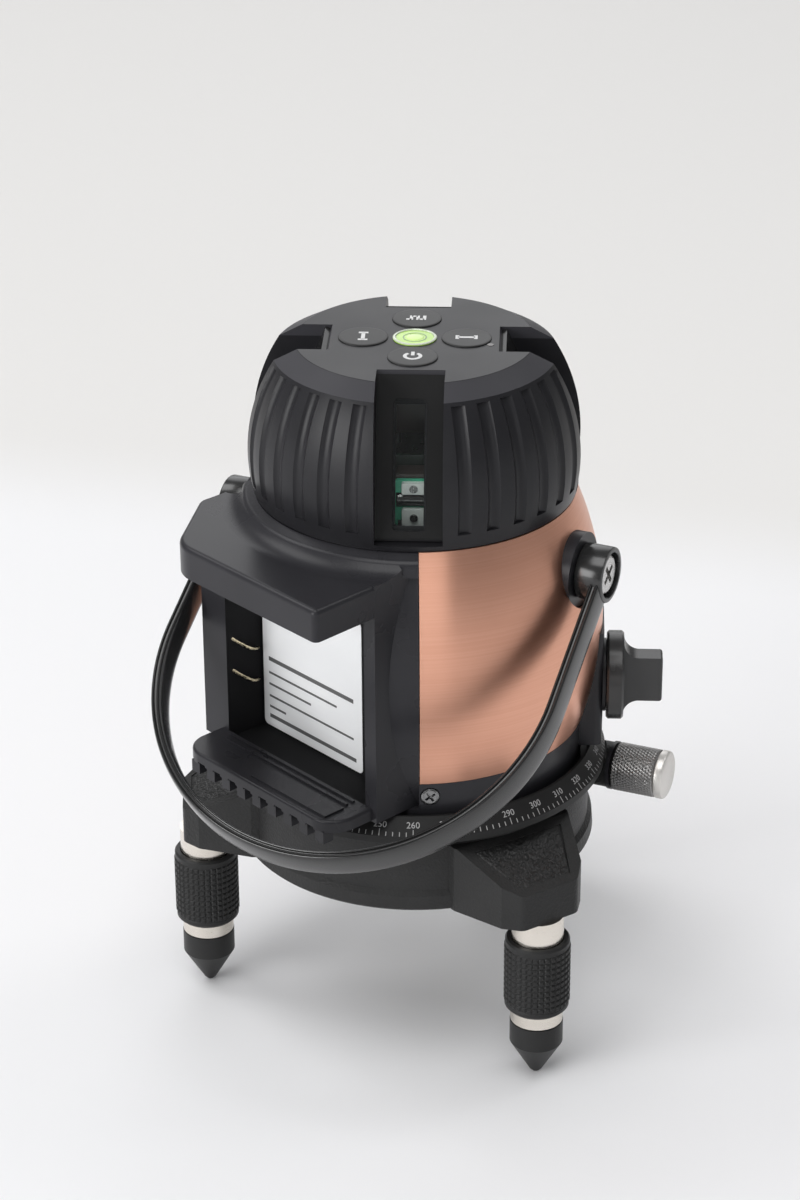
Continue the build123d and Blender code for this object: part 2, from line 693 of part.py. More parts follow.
with BuildPart() as bay_housing:
    revolve(
        shell_section(HOUSING_START, BARREL_ARC, BAY_SILL, BODY_TOP, HOUSING_WALL),
        axis=Axis.Z,
        revolution_arc=2 * BAY_HALF_ANGLE,
    )
    with Locations((0, BAY_FRONT_Y - 10, 66)):
        Box(100, 20, 80, mode=Mode.SUBTRACT)
    with Locations((0, (BAY_FRONT_Y + BAY_WALL_Y) / 2, (HOOD_TOP + BAY_SILL) / 2)):
        Box(2 * BAY_RIGHT_X, BAY_WALL_Y - BAY_FRONT_Y, HOOD_TOP - BAY_SILL)
    left_jamb = outline(
        Plane.XY.offset(BAY_SILL),
        (BAY_LEFT_X, BAY_FRONT_Y),
        (-BAY_RIGHT_X + 1, BAY_FRONT_Y),
        (-BAY_RIGHT_X + 1, BAY_LEFT_BACK_Y),
        (BAY_LEFT_X, BAY_LEFT_BACK_Y),
    )
    extrude(left_jamb, amount=BAY_LINTEL_Z - BAY_SILL + 1)
    with BuildSketch(HOUSING_START):
        with BuildLine():
            Polyline(
                (COLLAR_BEAD_R - 1.8, BODY_TOP - 1),
                (arc_radius_at(BARREL_ARC, BODY_TOP), BODY_TOP),
                (RING_IN_R - 0.9, BODY_TOP),
                (RING_IN_R - 0.9, HOOD_TOP - 1),
                (COLLAR_BEAD_R, HOOD_TOP - 1),
                (COLLAR_BEAD_R, HOOD_TOP + 1),
            )
            ThreePointArc(
                (COLLAR_BEAD_R, HOOD_TOP + 1),
                (COLLAR_BEAD_R - 0.3, HOOD_TOP + 2.4),
                (COLLAR_BEAD_R - 1.8, BODY_TOP - 1),
            )
        make_face()
    revolve(axis=Axis.Z, revolution_arc=2 * BAY_HALF_ANGLE)
    add(hood.part)
    add(cove.part)
    add(ledge.part)
    with Locations((0, (BAY_FRONT_Y + BAY_BACK_Y) / 2, (BAY_FLOOR_Z + BAY_LINTEL_Z) / 2)):
        Box(2 * BAY_OPEN_X, BAY_BACK_Y - BAY_FRONT_Y, BAY_LINTEL_Z - BAY_FLOOR_Z, mode=Mode.SUBTRACT)
    for x, z in ((-20, 44), (20, 44), (-20, 86), (20, 86)):
        post_foot = Plane(origin=(x, BAY_WALL_Y, z), x_dir=(1, 0, 0), z_dir=(0, 1, 0))
        extrude(disc(post_foot, 2.5), amount=2)
bay_housing.part.label = "bay_housing"
export_step(bay_housing.part, "parts/bay_housing.step")

with BuildPart() as contact_springs:
    for z in CONTACT_ZS:
        spring_plan = Plane.XY.offset(z - CONTACT_WIDTH / 2)
        with BuildSketch(spring_plan):
            with BuildLine():
                ThreePointArc((-BAY_OPEN_X, -43.6), (-BAY_OPEN_X + 2.6, -38.8), (-BAY_OPEN_X, -34.0))
                ThreePointArc((-BAY_OPEN_X, -34.0), (-BAY_OPEN_X + 2.1, -38.8), (-BAY_OPEN_X, -43.6))
            make_face()
        extrude(amount=CONTACT_WIDTH)
contact_springs.part.label = "contact_springs"
export_step(contact_springs.part, "parts/contact_springs.step")

with BuildPart() as main_board:
    with Locations((0, BAY_WALL_Y + 2.8, 65)):
        Box(48, 1.6, 50)
    for x, z, w, h in ((-8, 70, 14, 14), (12, 58, 9, 12), (10, 78, 16, 6)):
        with Locations((x, BAY_WALL_Y + 4.3, z)):
            Box(w, 1.6, h)
main_board.part.label = "main_board"
export_step(main_board.part, "parts/main_board.step")

with BuildPart() as chassis:
    revolve(section((5, TABLE_TOP), (40, TABLE_TOP), (40, 30.5), (5, 30.5)), axis=Axis.Z)
    revolve(section((10, 30), (15, 30), (15, 40), (10, 40)), axis=Axis.Z)
    for azimuth in (60, 180, 300):
        extrude(disc(Plane(origin=out(azimuth, 36, 30)), 3), amount=DECK_BOTTOM - 30)
    with BuildSketch(Plane(origin=out(LOCK_AZIMUTH, 30.5, 30), x_dir=out(LOCK_AZIMUTH), z_dir=(0, 0, 1))):
        Rectangle(6, 11)
    extrude(amount=24)
    extrude(disc(side_plane(LOCK_AZIMUTH, 25, LOCK_Z), PLUNGER_R + RUN), amount=12, mode=Mode.SUBTRACT)
chassis.part.label = "chassis"
export_step(chassis.part, "parts/chassis.step")

with BuildPart() as magnet_ring:
    revolve(section((9.5, 40), (16, 40), (16, 44.3), (9.5, 44.3)), axis=Axis.Z)
magnet_ring.part.label = "magnet_ring"
export_step(magnet_ring.part, "parts/magnet_ring.step")

with BuildPart() as upper_deck:
    deck_half = section(
        (21, DECK_BOTTOM),
        (41.8, DECK_BOTTOM),
        (41.8, BODY_TOP),
        (43.9, BODY_TOP),
        (43.9, HEAD_BOTTOM),
        (39.4, HEAD_BOTTOM),
        (39.4, DECK_TOP),
        (21, DECK_TOP),
    )
    revolve(deck_half, axis=Axis.Z)
    for x in (-25, 25):
        with Locations((x, 0, (DECK_BOTTOM + 88) / 2)):
            Box(6, 12, DECK_BOTTOM - 88)
    with BuildSketch(Plane.YZ.offset(-40)):
        with Locations((0, GIMBAL_Z)):
            Circle(GIMBAL_PIN_R + RUN)
    extrude(amount=80, mode=Mode.SUBTRACT)
upper_deck.part.label = "upper_deck"
export_step(upper_deck.part, "parts/upper_deck.step")

# Head cap with four slanted window slots and ribbed quadrants
PANE_RISE = HEAD_TOP - PANE_FOOT_Z
PANE_RUN = PANE_FOOT_R - PANE_TOP_R
PANE_LENGTH = hypot(PANE_RISE, PANE_RUN)
PANE_COS = PANE_RISE / PANE_LENGTH
PANE_SIN = PANE_RUN / PANE_LENGTH
FRAME_LENGTH = PANE_LENGTH - 2.45
GLASS_LENGTH = PANE_LENGTH - 11.0


def pane_r(z, depth=0.0):
    return PANE_FOOT_R - (z - PANE_FOOT_Z) * PANE_RUN / PANE_RISE - depth / PANE_COS


def pane_plane(azimuth, depth=0.0):
    a = radians(azimuth)
    z = (PANE_FOOT_Z + HEAD_TOP) / 2
    normal = out(azimuth, PANE_COS, PANE_SIN)
    return Plane(origin=out(azimuth, pane_r(z, depth), z), x_dir=(cos(a), sin(a), 0), z_dir=normal)


def slot_wedge(azimuth, depth, half_width, bottom):
    with BuildPart() as wedge:
        side = outline(
            meridian(azimuth),
            (pane_r(bottom, depth), bottom),
            (70, bottom),
            (70, HEAD_TOP + 2),
            (pane_r(HEAD_TOP + 2, depth), HEAD_TOP + 2),
        )
        extrude(side, amount=half_width, both=True)
    return wedge.part


def flute(azimuth):
    # A rounded groove that follows the curve of the head's side
    centre_r, centre_z, arc_r = arc_centre(HEAD_ARC)
    first = asin((FLUTE_LOW - centre_z) / arc_r)
    last = asin((FLUTE_HIGH - centre_z) / arc_r)
    across = meridian(azimuth).z_dir
    reach = arc_r + FLUTE_R - FLUTE_DEPTH
    groove_start = Plane(
        origin=out(azimuth, centre_r + reach * cos(first), centre_z + reach * sin(first)),
        x_dir=out(azimuth, cos(first), sin(first)),
        z_dir=out(azimuth, sin(first), -cos(first)),
    )
    with BuildPart() as groove:
        turning = Axis(out(azimuth, centre_r, centre_z), across)
        revolve(disc(groove_start, FLUTE_R), axis=turning, revolution_arc=degrees(last - first))
    return groove.part


with BuildPart() as head_cavity:
    cavity_arc = arc_triplet(HEAD_ARC, HEAD_BOTTOM, HEAD_TOP - HEAD_PLATE - 2.4, HEAD_WALL)
    with BuildSketch(Plane.XZ):
        with BuildLine():
            Line((0, HEAD_BOTTOM), cavity_arc[0])
            ThreePointArc(*cavity_arc)
            Polyline(
                cavity_arc[2],
                (HEAD_FLAT_R - 1, HEAD_TOP - HEAD_PLATE),
                (0, HEAD_TOP - HEAD_PLATE),
                (0, HEAD_BOTTOM),
            )
        make_face()
    revolve(axis=Axis.Z)
    for azimuth in SLOT_AZIMUTHS:
        add(slot_wedge(azimuth, FRAME_DEPTH + 2.2, SLOT_WIDTH / 2 + 2, HEAD_BOTTOM), mode=Mode.SUBTRACT)

with BuildPart() as head_cap:
    with BuildSketch(Plane.XZ):
        with BuildLine():
            Line((0, HEAD_BOTTOM), HEAD_ARC[0])
            ThreePointArc(*HEAD_ARC)
            Polyline(HEAD_ARC[2], (HEAD_FLAT_R, HEAD_TOP), (0, HEAD_TOP), (0, HEAD_BOTTOM))
        make_face()
    revolve(axis=Axis.Z)
    for quadrant in POST_AZIMUTHS:
        for step in range(FLUTES):
            add(flute(quadrant + (step - (FLUTES - 1) / 2) * FLUTE_STEP), mode=Mode.SUBTRACT)
    add(head_cavity.part, mode=Mode.SUBTRACT)
    for azimuth in SLOT_AZIMUTHS:
        add(slot_wedge(azimuth, FRAME_DEPTH, SLOT_WIDTH / 2, HEAD_BOTTOM + 1.2), mode=Mode.SUBTRACT)
        with BuildSketch(pane_plane(azimuth, FRAME_DEPTH)):
            with Locations((0, -GLASS_DROP)):
                Rectangle(GLASS_WIDTH - 1.2, GLASS_LENGTH - 2.8)
        extrude(amount=-6, mode=Mode.SUBTRACT)
        key_hole = Plane(origin=out(azimuth, KEY_RING_R, HEAD_TOP - HEAD_PLATE - 2))
        extrude(disc(key_hole, KEY_R + KEY_GAP), amount=HEAD_PLATE + 5, mode=Mode.SUBTRACT)
    vial_hole = Plane.XY.offset(HEAD_TOP - HEAD_PLATE - 2)
    extrude(disc(vial_hole, VIAL_R + SKIN), amount=HEAD_PLATE + 5, mode=Mode.SUBTRACT)
    for azimuth in POST_AZIMUTHS:
        post_foot = Plane(origin=out(azimuth, POST_RING_R, KEYPAD_Z + KEYPAD_BOARD))
        extrude(disc(post_foot, POST_R), amount=HEAD_TOP - HEAD_PLATE + 0.6 - KEYPAD_Z - KEYPAD_BOARD)
    light_hole = Plane(origin=out(LIGHT_AZIMUTH, LIGHT_RING_R, HEAD_TOP - HEAD_PLATE - 2))
    extrude(disc(light_hole, LIGHT_R), amount=HEAD_PLATE + 5, mode=Mode.SUBTRACT)
head_cap.part.label = "head_cap"
export_step(head_cap.part, "parts/head_cap.step")

with BuildPart() as window_frames:
    for azimuth in SLOT_AZIMUTHS:
        with BuildSketch(pane_plane(azimuth, FRAME_DEPTH)):
            Rectangle(SLOT_WIDTH - 0.1, FRAME_LENGTH)
            with Locations((0, -GLASS_DROP)):
                RectangleRounded(GLASS_WIDTH + 0.1, GLASS_LENGTH + 0.1, 1.5, mode=Mode.SUBTRACT)
        extrude(amount=FRAME_DEPTH)
window_frames.part.label = "window_frames"
export_step(window_frames.part, "parts/window_frames.step")

with BuildPart() as window_glasses:
    for azimuth in SLOT_AZIMUTHS:
        with BuildSketch(pane_plane(azimuth, FRAME_DEPTH)):
            with Locations((0, -GLASS_DROP)):
                RectangleRounded(GLASS_WIDTH, GLASS_LENGTH, 1.4)
        extrude(amount=1.0)
window_glasses.part.label = "window_glasses"
export_step(window_glasses.part, "parts/window_glasses.step")

with BuildPart() as bubble_vial:
    vial_half = section(
        (0, HEAD_TOP - VIAL_DEPTH),
        (VIAL_R, HEAD_TOP - VIAL_DEPTH),
        (VIAL_R, HEAD_TOP - HEAD_PLATE - 1.5),
        (VIAL_FLANGE_R, HEAD_TOP - HEAD_PLATE - 1.5),
        (VIAL_FLANGE_R, HEAD_TOP - HEAD_PLATE),
        (VIAL_R, HEAD_TOP - HEAD_PLATE),
        (VIAL_R, HEAD_TOP + VIAL_RISE),
        (0, HEAD_TOP + VIAL_RISE),
    )
    revolve(vial_half, axis=Axis.Z)
bubble_vial.part.label = "bubble_vial"
export_step(bubble_vial.part, "parts/bubble_vial.step")

with BuildPart() as keypad_board:
    extrude(disc(Plane.XY.offset(KEYPAD_Z), KEYPAD_R), amount=KEYPAD_BOARD)
keypad_board.part.label = "keypad_board"
export_step(keypad_board.part, "parts/keypad_board.step")

with BuildPart() as key_mat:
    mat_z = KEYPAD_Z + KEYPAD_BOARD
    dome = KEY_SEAT - KEY_TRAVEL - 0.2 - mat_z - MAT_WEB / 2
    extrude(disc(Plane.XY.offset(mat_z), MAT_R), amount=MAT_WEB)
    for azimuth in SLOT_AZIMUTHS:
        dome_foot = Plane(origin=out(azimuth, KEY_RING_R, mat_z + MAT_WEB / 2))
        extrude(disc(dome_foot, 4), amount=dome, taper=14)
    for azimuth in POST_AZIMUTHS:
        post_hole = Plane(origin=out(azimuth, POST_RING_R, mat_z - 1))
        extrude(disc(post_hole, POST_R + 0.3), amount=MAT_WEB + 2, mode=Mode.SUBTRACT)
key_mat.part.label = "key_mat"
export_step(key_mat.part, "parts/key_mat.step")

with BuildPart() as status_light:
    light_foot = Plane(origin=out(LIGHT_AZIMUTH, LIGHT_RING_R, KEYPAD_Z + KEYPAD_BOARD))
    extrude(disc(light_foot, LIGHT_R - SKIN), amount=HEAD_TOP + 0.1 - KEYPAD_Z - KEYPAD_BOARD)
status_light.part.label = "status_light"
export_step(status_light.part, "parts/status_light.step")

for i, azimuth in enumerate(SLOT_AZIMUTHS, 1):
    with BuildPart() as key:
        key_foot = Plane(origin=out(azimuth, KEY_RING_R, KEY_SEAT))
        extrude(disc(key_foot, KEY_FLANGE_R), amount=1)
        extrude(disc(key_foot, KEY_R), amount=KEY_HEIGHT)
        fillet(key.edges().group_by(Axis.Z)[-1], radius=0.5)
    key.part.label = f"key_{i}"
    export_step(key.part, f"parts/key_{i}.step")

# Handle: local x runs along the pivot axis and y along the arms
PIVOT_DIR = out(PIVOT_AZIMUTH)
ARM_DIR = out(PIVOT_AZIMUTH - 90, sin(radians(BAIL_TILT)), -cos(radians(BAIL_TILT)))
BAIL_ORIGIN = Vector(0, 0, PIVOT_Z)
BAIL_NORMAL = PIVOT_DIR.cross(ARM_DIR)
BAIL_PLANE = Plane(origin=BAIL_ORIGIN, x_dir=PIVOT_DIR, z_dir=BAIL_NORMAL)


def bail_section(u, w, heading):
    # A flat strap grooved along both edges; heading points inward in the plane of the bail
    centre = BAIL_ORIGIN + PIVOT_DIR * u + ARM_DIR * w
    inward = PIVOT_DIR * heading[0] + ARM_DIR * heading[1]
    place = Plane(origin=centre, x_dir=inward, z_dir=inward.cross(BAIL_NORMAL))
    with BuildSketch(place) as sketch:
        RectangleRounded(BAIL_THICK, BAIL_WIDTH, 0.6)
        with GridLocations(1, BAIL_WIDTH, 1, 2):
            Rectangle(BAIL_GROOVE, BAIL_GROOVE, mode=Mode.SUBTRACT)
    return sketch.sketch


def eye_plane(side, u):
    return Plane(origin=BAIL_ORIGIN + PIVOT_DIR * side * u, x_dir=(0, 0, 1), z_dir=PIVOT_DIR * side)


TANGENT = atan2(ARM_W - BAIL_CENTRE, ARM_U) + acos(BAIL_RADIUS / hypot(ARM_U, ARM_W - BAIL_CENTRE))
TANGENT_U = BAIL_RADIUS * cos(TANGENT)
TANGENT_W = BAIL_CENTRE + BAIL_RADIUS * sin(TANGENT)

with BuildPart() as bail_handle:
    with BuildLine(BAIL_PLANE) as bow:
        ThreePointArc((TANGENT_U, TANGENT_W), (0, BAIL_CENTRE + BAIL_RADIUS), (-TANGENT_U, TANGENT_W))
    sweep(bail_section(TANGENT_U, TANGENT_W, (-cos(TANGENT), -sin(TANGENT))), path=bow.wire())
    for side in (1, -1):
        heading = (-side * cos(TANGENT), -sin(TANGENT))
        arm_length = hypot(TANGENT_U - ARM_U, TANGENT_W - ARM_W)
        arm_way = PIVOT_DIR * (side * (ARM_U - TANGENT_U)) + ARM_DIR * (ARM_W - TANGENT_W)
        extrude(bail_section(side * TANGENT_U, TANGENT_W, heading), amount=arm_length, dir=arm_way)
    for side in (1, -1):
        extrude(disc(eye_plane(side, EYE_START), EYE_R), amount=EYE_END - EYE_START)
    for side in (1, -1):
        extrude(disc(eye_plane(side, 40), PIVOT_PIN_R + RUN), amount=25, mode=Mode.SUBTRACT)
        extrude(disc(eye_plane(side, EYE_RECESS), EYE_RECESS_R), amount=8, mode=Mode.SUBTRACT)
bail_handle.part.label = "bail_handle"
export_step(bail_handle.part, "parts/bail_handle.step")

with BuildPart() as handle_bosses:
    for azimuth in (PIVOT_AZIMUTH, PIVOT_AZIMUTH + 180):
        extrude(disc(side_plane(azimuth, 44.4, PIVOT_Z), BOSS_R), amount=5.9)
        extrude(disc(side_plane(azimuth, 50, PIVOT_Z), PIVOT_PIN_R), amount=6)
        extrude(disc(side_plane(azimuth, 42.4, PIVOT_Z), 11.6), amount=2)
        extrude(disc(side_plane(azimuth, 45, PIVOT_Z), 2), amount=15, mode=Mode.SUBTRACT)
handle_bosses.part.label = "handle_bosses"
export_step(handle_bosses.part, "parts/handle_bosses.step")

with BuildPart() as pivot_screws:
    for azimuth in (PIVOT_AZIMUTH, PIVOT_AZIMUTH + 180):
        extrude(disc(side_plane(azimuth, 56, PIVOT_Z), 5.5), amount=1.8)
        extrude(disc(side_plane(azimuth, 46, PIVOT_Z), 2 - SKIN), amount=10)
pivot_screws.part.label = "pivot_screws"
export_step(pivot_screws.part, "parts/pivot_screws.step")

# Lock: the knob turns the shaft, and the plunger runs in on its lead
with BuildPart() as lock_knob:
    knob_back = COLUMN_FACE_R + LOCK_GAP
    knob_face = knob_back + LOCK_DISC
    knob_end = knob_face + LOCK_GRIP
    extrude(disc(side_plane(LOCK_AZIMUTH, knob_back, LOCK_Z), LOCK_DISC_R), amount=LOCK_DISC)
    chamfer(lock_knob.edges().filter_by(GeomType.CIRCLE), length=0.6)
    rise = LOCK_DISC_R - 1 - LOCK_GRIP_HALF
    bend = LOCK_SHOULDER * 0.3
    foot = LOCK_GRIP_HALF + rise
    knob_side = Plane(origin=(0, 0, LOCK_Z), x_dir=out(LOCK_AZIMUTH), z_dir=meridian(LOCK_AZIMUTH).z_dir)
    with BuildSketch(knob_side):
        with BuildLine():
            Polyline(
                (knob_face + LOCK_SHOULDER, LOCK_GRIP_HALF),
                (knob_end, LOCK_GRIP_HALF),
                (knob_end, -LOCK_GRIP_HALF),
                (knob_face + LOCK_SHOULDER, -LOCK_GRIP_HALF),
            )
            ThreePointArc(
                (knob_face + LOCK_SHOULDER, -LOCK_GRIP_HALF),
                (knob_face + bend, -LOCK_GRIP_HALF - rise * 0.3),
                (knob_face, -foot),
            )
            Polyline((knob_face, -foot), (knob_face - 1, -foot), (knob_face - 1, foot), (knob_face, foot))
            ThreePointArc(
                (knob_face, foot),
                (knob_face + bend, LOCK_GRIP_HALF + rise * 0.3),
                (knob_face + LOCK_SHOULDER, LOCK_GRIP_HALF),
            )
        make_face()
    extrude(amount=LOCK_GRIP_THICK / 2, both=True)
    grip_end = lock_knob.faces().sort_by_distance(out(LOCK_AZIMUTH, knob_end + 20, LOCK_Z))[0]
    fillet(grip_end.edges(), radius=0.8)
    socket = side_plane(LOCK_AZIMUTH, COLUMN_FACE_R, LOCK_Z)
    extrude(disc(socket, LOCK_SHAFT_R + SKIN), amount=LOCK_GAP + LOCK_SOCKET, mode=Mode.SUBTRACT)
lock_knob.part.label = "lock_knob"
export_step(lock_knob.part, "parts/lock_knob.step")

with BuildPart() as lock_shaft:
    extrude(disc(side_plane(LOCK_AZIMUTH, 38, LOCK_Z), LOCK_SHAFT_R), amount=knob_back + LOCK_SOCKET - 0.2 - 38)
    extrude(disc(side_plane(LOCK_AZIMUTH, 28, LOCK_Z), 2), amount=12)
lock_shaft.part.label = "lock_shaft"
export_step(lock_shaft.part, "parts/lock_shaft.step")

with BuildPart() as lock_plunger:
    extrude(disc(side_plane(LOCK_AZIMUTH, 22.6, LOCK_Z), PLUNGER_R), amount=13.4)
    extrude(disc(side_plane(LOCK_AZIMUTH, 23.6, LOCK_Z), 2 + RUN), amount=14, mode=Mode.SUBTRACT)
lock_plunger.part.label = "lock_plunger"
export_step(lock_plunger.part, "parts/lock_plunger.step")

# Gimbal and pendulum
with BuildPart() as gimbal_ring:
    revolve(section((15, 91.5), (19.5, 91.5), (19.5, 97.5), (15, 97.5)), axis=Axis.Z)
    for azimuth in (0, 90, 180, 270):
        extrude(disc(side_plane(azimuth, 12, GIMBAL_Z), GIMBAL_PIN_R), amount=10, mode=Mode.SUBTRACT)
gimbal_ring.part.label = "gimbal_ring"
export_step(gimbal_ring.part, "parts/gimbal_ring.step")

with BuildPart() as gimbal_pins:
    for azimuth in (90, 270):
        extrude(disc(side_plane(azimuth, 15.5, GIMBAL_Z), GIMBAL_PIN_R), amount=11.5)
    for azimuth in (0, 180):
        extrude(disc(side_plane(azimuth, 7.5, GIMBAL_Z), GIMBAL_PIN_R), amount=11.5)
gimbal_pins.part.label = "gimbal_pins"
export_step(gimbal_pins.part, "parts/gimbal_pins.step")

with BuildPart() as pendulum_frame:
    revolve(
        section(
            (0, 50),
            (5, 50),
            (5, 88),
            (11.5, 88),
            (11.5, CROWN_BOTTOM),
            (30, CROWN_BOTTOM),
            (30, CROWN_TOP),
            (4, CROWN_TOP),
            (4, MODULE_POST_TOP),
            (0, MODULE_POST_TOP),
        ),
        axis=Axis.Z,
    )
    with BuildSketch(Plane.XZ.offset(-15)):
        with Locations((0, GIMBAL_Z)):
            Circle(GIMBAL_PIN_R + RUN)
    extrude(amount=8.5, mode=Mode.SUBTRACT)
    with BuildSketch(Plane.XZ.offset(6.5)):
        with Locations((0, GIMBAL_Z)):
            Circle(GIMBAL_PIN_R + RUN)
    extrude(amount=8.5, mode=Mode.SUBTRACT)
pendulum_frame.part.label = "pendulum_frame"
export_step(pendulum_frame.part, "parts/pendulum_frame.step")

with BuildPart() as damping_plate:
    extrude(disc(Plane.XY.offset(PLATE_BOTTOM), 18), amount=50 - PLATE_BOTTOM)
damping_plate.part.label = "damping_plate"
export_step(damping_plate.part, "parts/damping_plate.step")

with BuildPart() as plumb_module:
    extrude(disc(Plane.XY.offset(40.5), 4), amount=PLATE_BOTTOM - 40.5)
    extrude(disc(Plane.XY.offset(40.5), 2), amount=2, mode=Mode.SUBTRACT)
plumb_module.part.label = "plumb_module"
export_step(plumb_module.part, "parts/plumb_module.step")


def rod_plane(azimuth):
    a = radians(azimuth)
    return Plane(origin=out(azimuth, MODULE_R, MODULE_Z), x_dir=(0, 0, 1), z_dir=(cos(a), sin(a), 0))


with BuildPart() as module_holders:
    for azimuth in SLOT_AZIMUTHS:
        holder_r = MODULE_R - MODULE_DEEP / 2
        holder_foot = Plane(origin=out(azimuth, holder_r, CROWN_TOP), x_dir=out(azimuth), z_dir=(0, 0, 1))
        with BuildSketch(holder_foot):
            Rectangle(MODULE_DEEP, MODULE_WIDE)
        extrude(amount=MODULE_TALL)
        extrude(disc(rod_plane(azimuth), ROD_R), amount=MODULE_WIDE, both=True, mode=Mode.SUBTRACT)
module_holders.part.label = "module_holders"
export_step(module_holders.part, "parts/module_holders.step")

with BuildPart() as lens_rods:
    for azimuth in SLOT_AZIMUTHS:
        extrude(disc(rod_plane(azimuth), ROD_R - SKIN), amount=MODULE_WIDE / 2 - 0.2, both=True)
lens_rods.part.label = "lens_rods"
export_step(lens_rods.part, "parts/lens_rods.step")

with BuildPart() as module_barrels:
    for azimuth in SLOT_AZIMUTHS:
        barrel_end = MODULE_R - MODULE_DEEP
        extrude(disc(side_plane(azimuth, barrel_end, MODULE_Z), MODULE_BARREL_R), amount=-8)
module_barrels.part.label = "module_barrels"
export_step(module_barrels.part, "parts/module_barrels.step")

with BuildPart() as driver_boards:
    for azimuth in SLOT_AZIMUTHS:
        with BuildSketch(side_plane(azimuth, MODULE_R - MODULE_DEEP, CROWN_TOP + BOARD_TALL / 2)):
            Rectangle(BOARD_WIDE, BOARD_TALL)
            with Locations((0, MODULE_Z - CROWN_TOP - BOARD_TALL / 2)):
                Circle(MODULE_BARREL_R + SKIN, mode=Mode.SUBTRACT)
        extrude(amount=-1)
driver_boards.part.label = "driver_boards"
export_step(driver_boards.part, "parts/driver_boards.step")

with BuildPart() as horizontal_module:
    with BuildSketch(Plane(origin=(0, 0, MODULE_POST_TOP), x_dir=out(225), z_dir=(0, 0, 1))):
        Rectangle(18, 11)
    extrude(amount=9)
    extrude(disc(side_plane(225, 7, MODULE_POST_TOP + 4.5), 2.6), amount=4, mode=Mode.SUBTRACT)
horizontal_module.part.label = "horizontal_module"
export_step(horizontal_module.part, "parts/horizontal_module.step")
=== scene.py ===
import json
import math

import bmesh
import bpy
from mathutils import Matrix, Vector, noise


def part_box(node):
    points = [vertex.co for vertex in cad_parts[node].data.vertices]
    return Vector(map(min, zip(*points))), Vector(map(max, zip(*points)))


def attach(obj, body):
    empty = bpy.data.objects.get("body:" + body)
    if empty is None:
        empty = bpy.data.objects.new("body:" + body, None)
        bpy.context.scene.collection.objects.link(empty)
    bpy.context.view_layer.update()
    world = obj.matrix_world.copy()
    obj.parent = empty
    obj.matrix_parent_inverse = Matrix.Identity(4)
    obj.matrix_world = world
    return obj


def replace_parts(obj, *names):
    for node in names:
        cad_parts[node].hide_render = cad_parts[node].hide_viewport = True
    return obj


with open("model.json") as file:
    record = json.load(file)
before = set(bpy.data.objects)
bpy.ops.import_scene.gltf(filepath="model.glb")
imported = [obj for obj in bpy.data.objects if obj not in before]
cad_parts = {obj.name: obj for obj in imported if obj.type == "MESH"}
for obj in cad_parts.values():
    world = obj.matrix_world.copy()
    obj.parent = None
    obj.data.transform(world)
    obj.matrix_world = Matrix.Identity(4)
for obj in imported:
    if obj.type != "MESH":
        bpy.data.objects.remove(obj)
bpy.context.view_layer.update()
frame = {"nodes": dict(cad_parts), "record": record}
MM = 0.001
NODES = frame["nodes"]
JOINTS = {joint["name"]: joint for joint in frame["record"]["behaviour"]["joints"]}


# Materials, with lengths in metres

EVEN = (1, 1, 1)
# The part of a noise texture's range that is spread over two colours or two numbers
NOISE_LOW = 0.3
NOISE_HIGH = 0.7
# Broad drift in colour, and on plastics in gloss too: scale and detail of its noise
DRIFT_SCALE = 40.0
DRIFT_DETAIL = 4.0
METAL_DRIFT_SCALE = 60.0
METAL_DRIFT_DETAIL = 3.0
VIAL_DRIFT_SCALE = 120.0
# Tool lines of a metal: roughness of their noise, strength and depth of their relief
LINE_NOISE = 0.6
LINE_STRENGTH = 0.25
LINE_DEPTH = 0.00002
# Brushing of the copper coloured skin: scale of its noise along x, y and z, and strength of its relief
BRUSH_LINES = (14, 14, 6500)
BRUSH_DRIFT = (9, 9, 2600)
BRUSH_STRENGTH = 0.08
COPPER_DARK = (0.80, 0.41, 0.285)
COPPER_PALE = (0.84, 0.45, 0.32)
COPPER_ROUGH = (0.30, 0.36)
# Clear plastic: scale and gain of its haze, and roughness of its reflection
HAZE_SCALE = 300.0
HAZE_GAIN = 1.03
CLEAR_ROUGH = 0.05
# The darkest patches of a zone, as a share of its tone
ZONE_DARK = 0.85
# Sockets of a mix node that share a name, by their number
COLOUR_A = 6
COLOUR_B = 7
COLOUR_OUT = 2
NUMBER_A = 2
NUMBER_B = 3
NUMBER_OUT = 0


def grey(tone, tint=EVEN):
    return tuple(tone * share for share in tint)


def opaque(colour):
    return (*colour, 1)


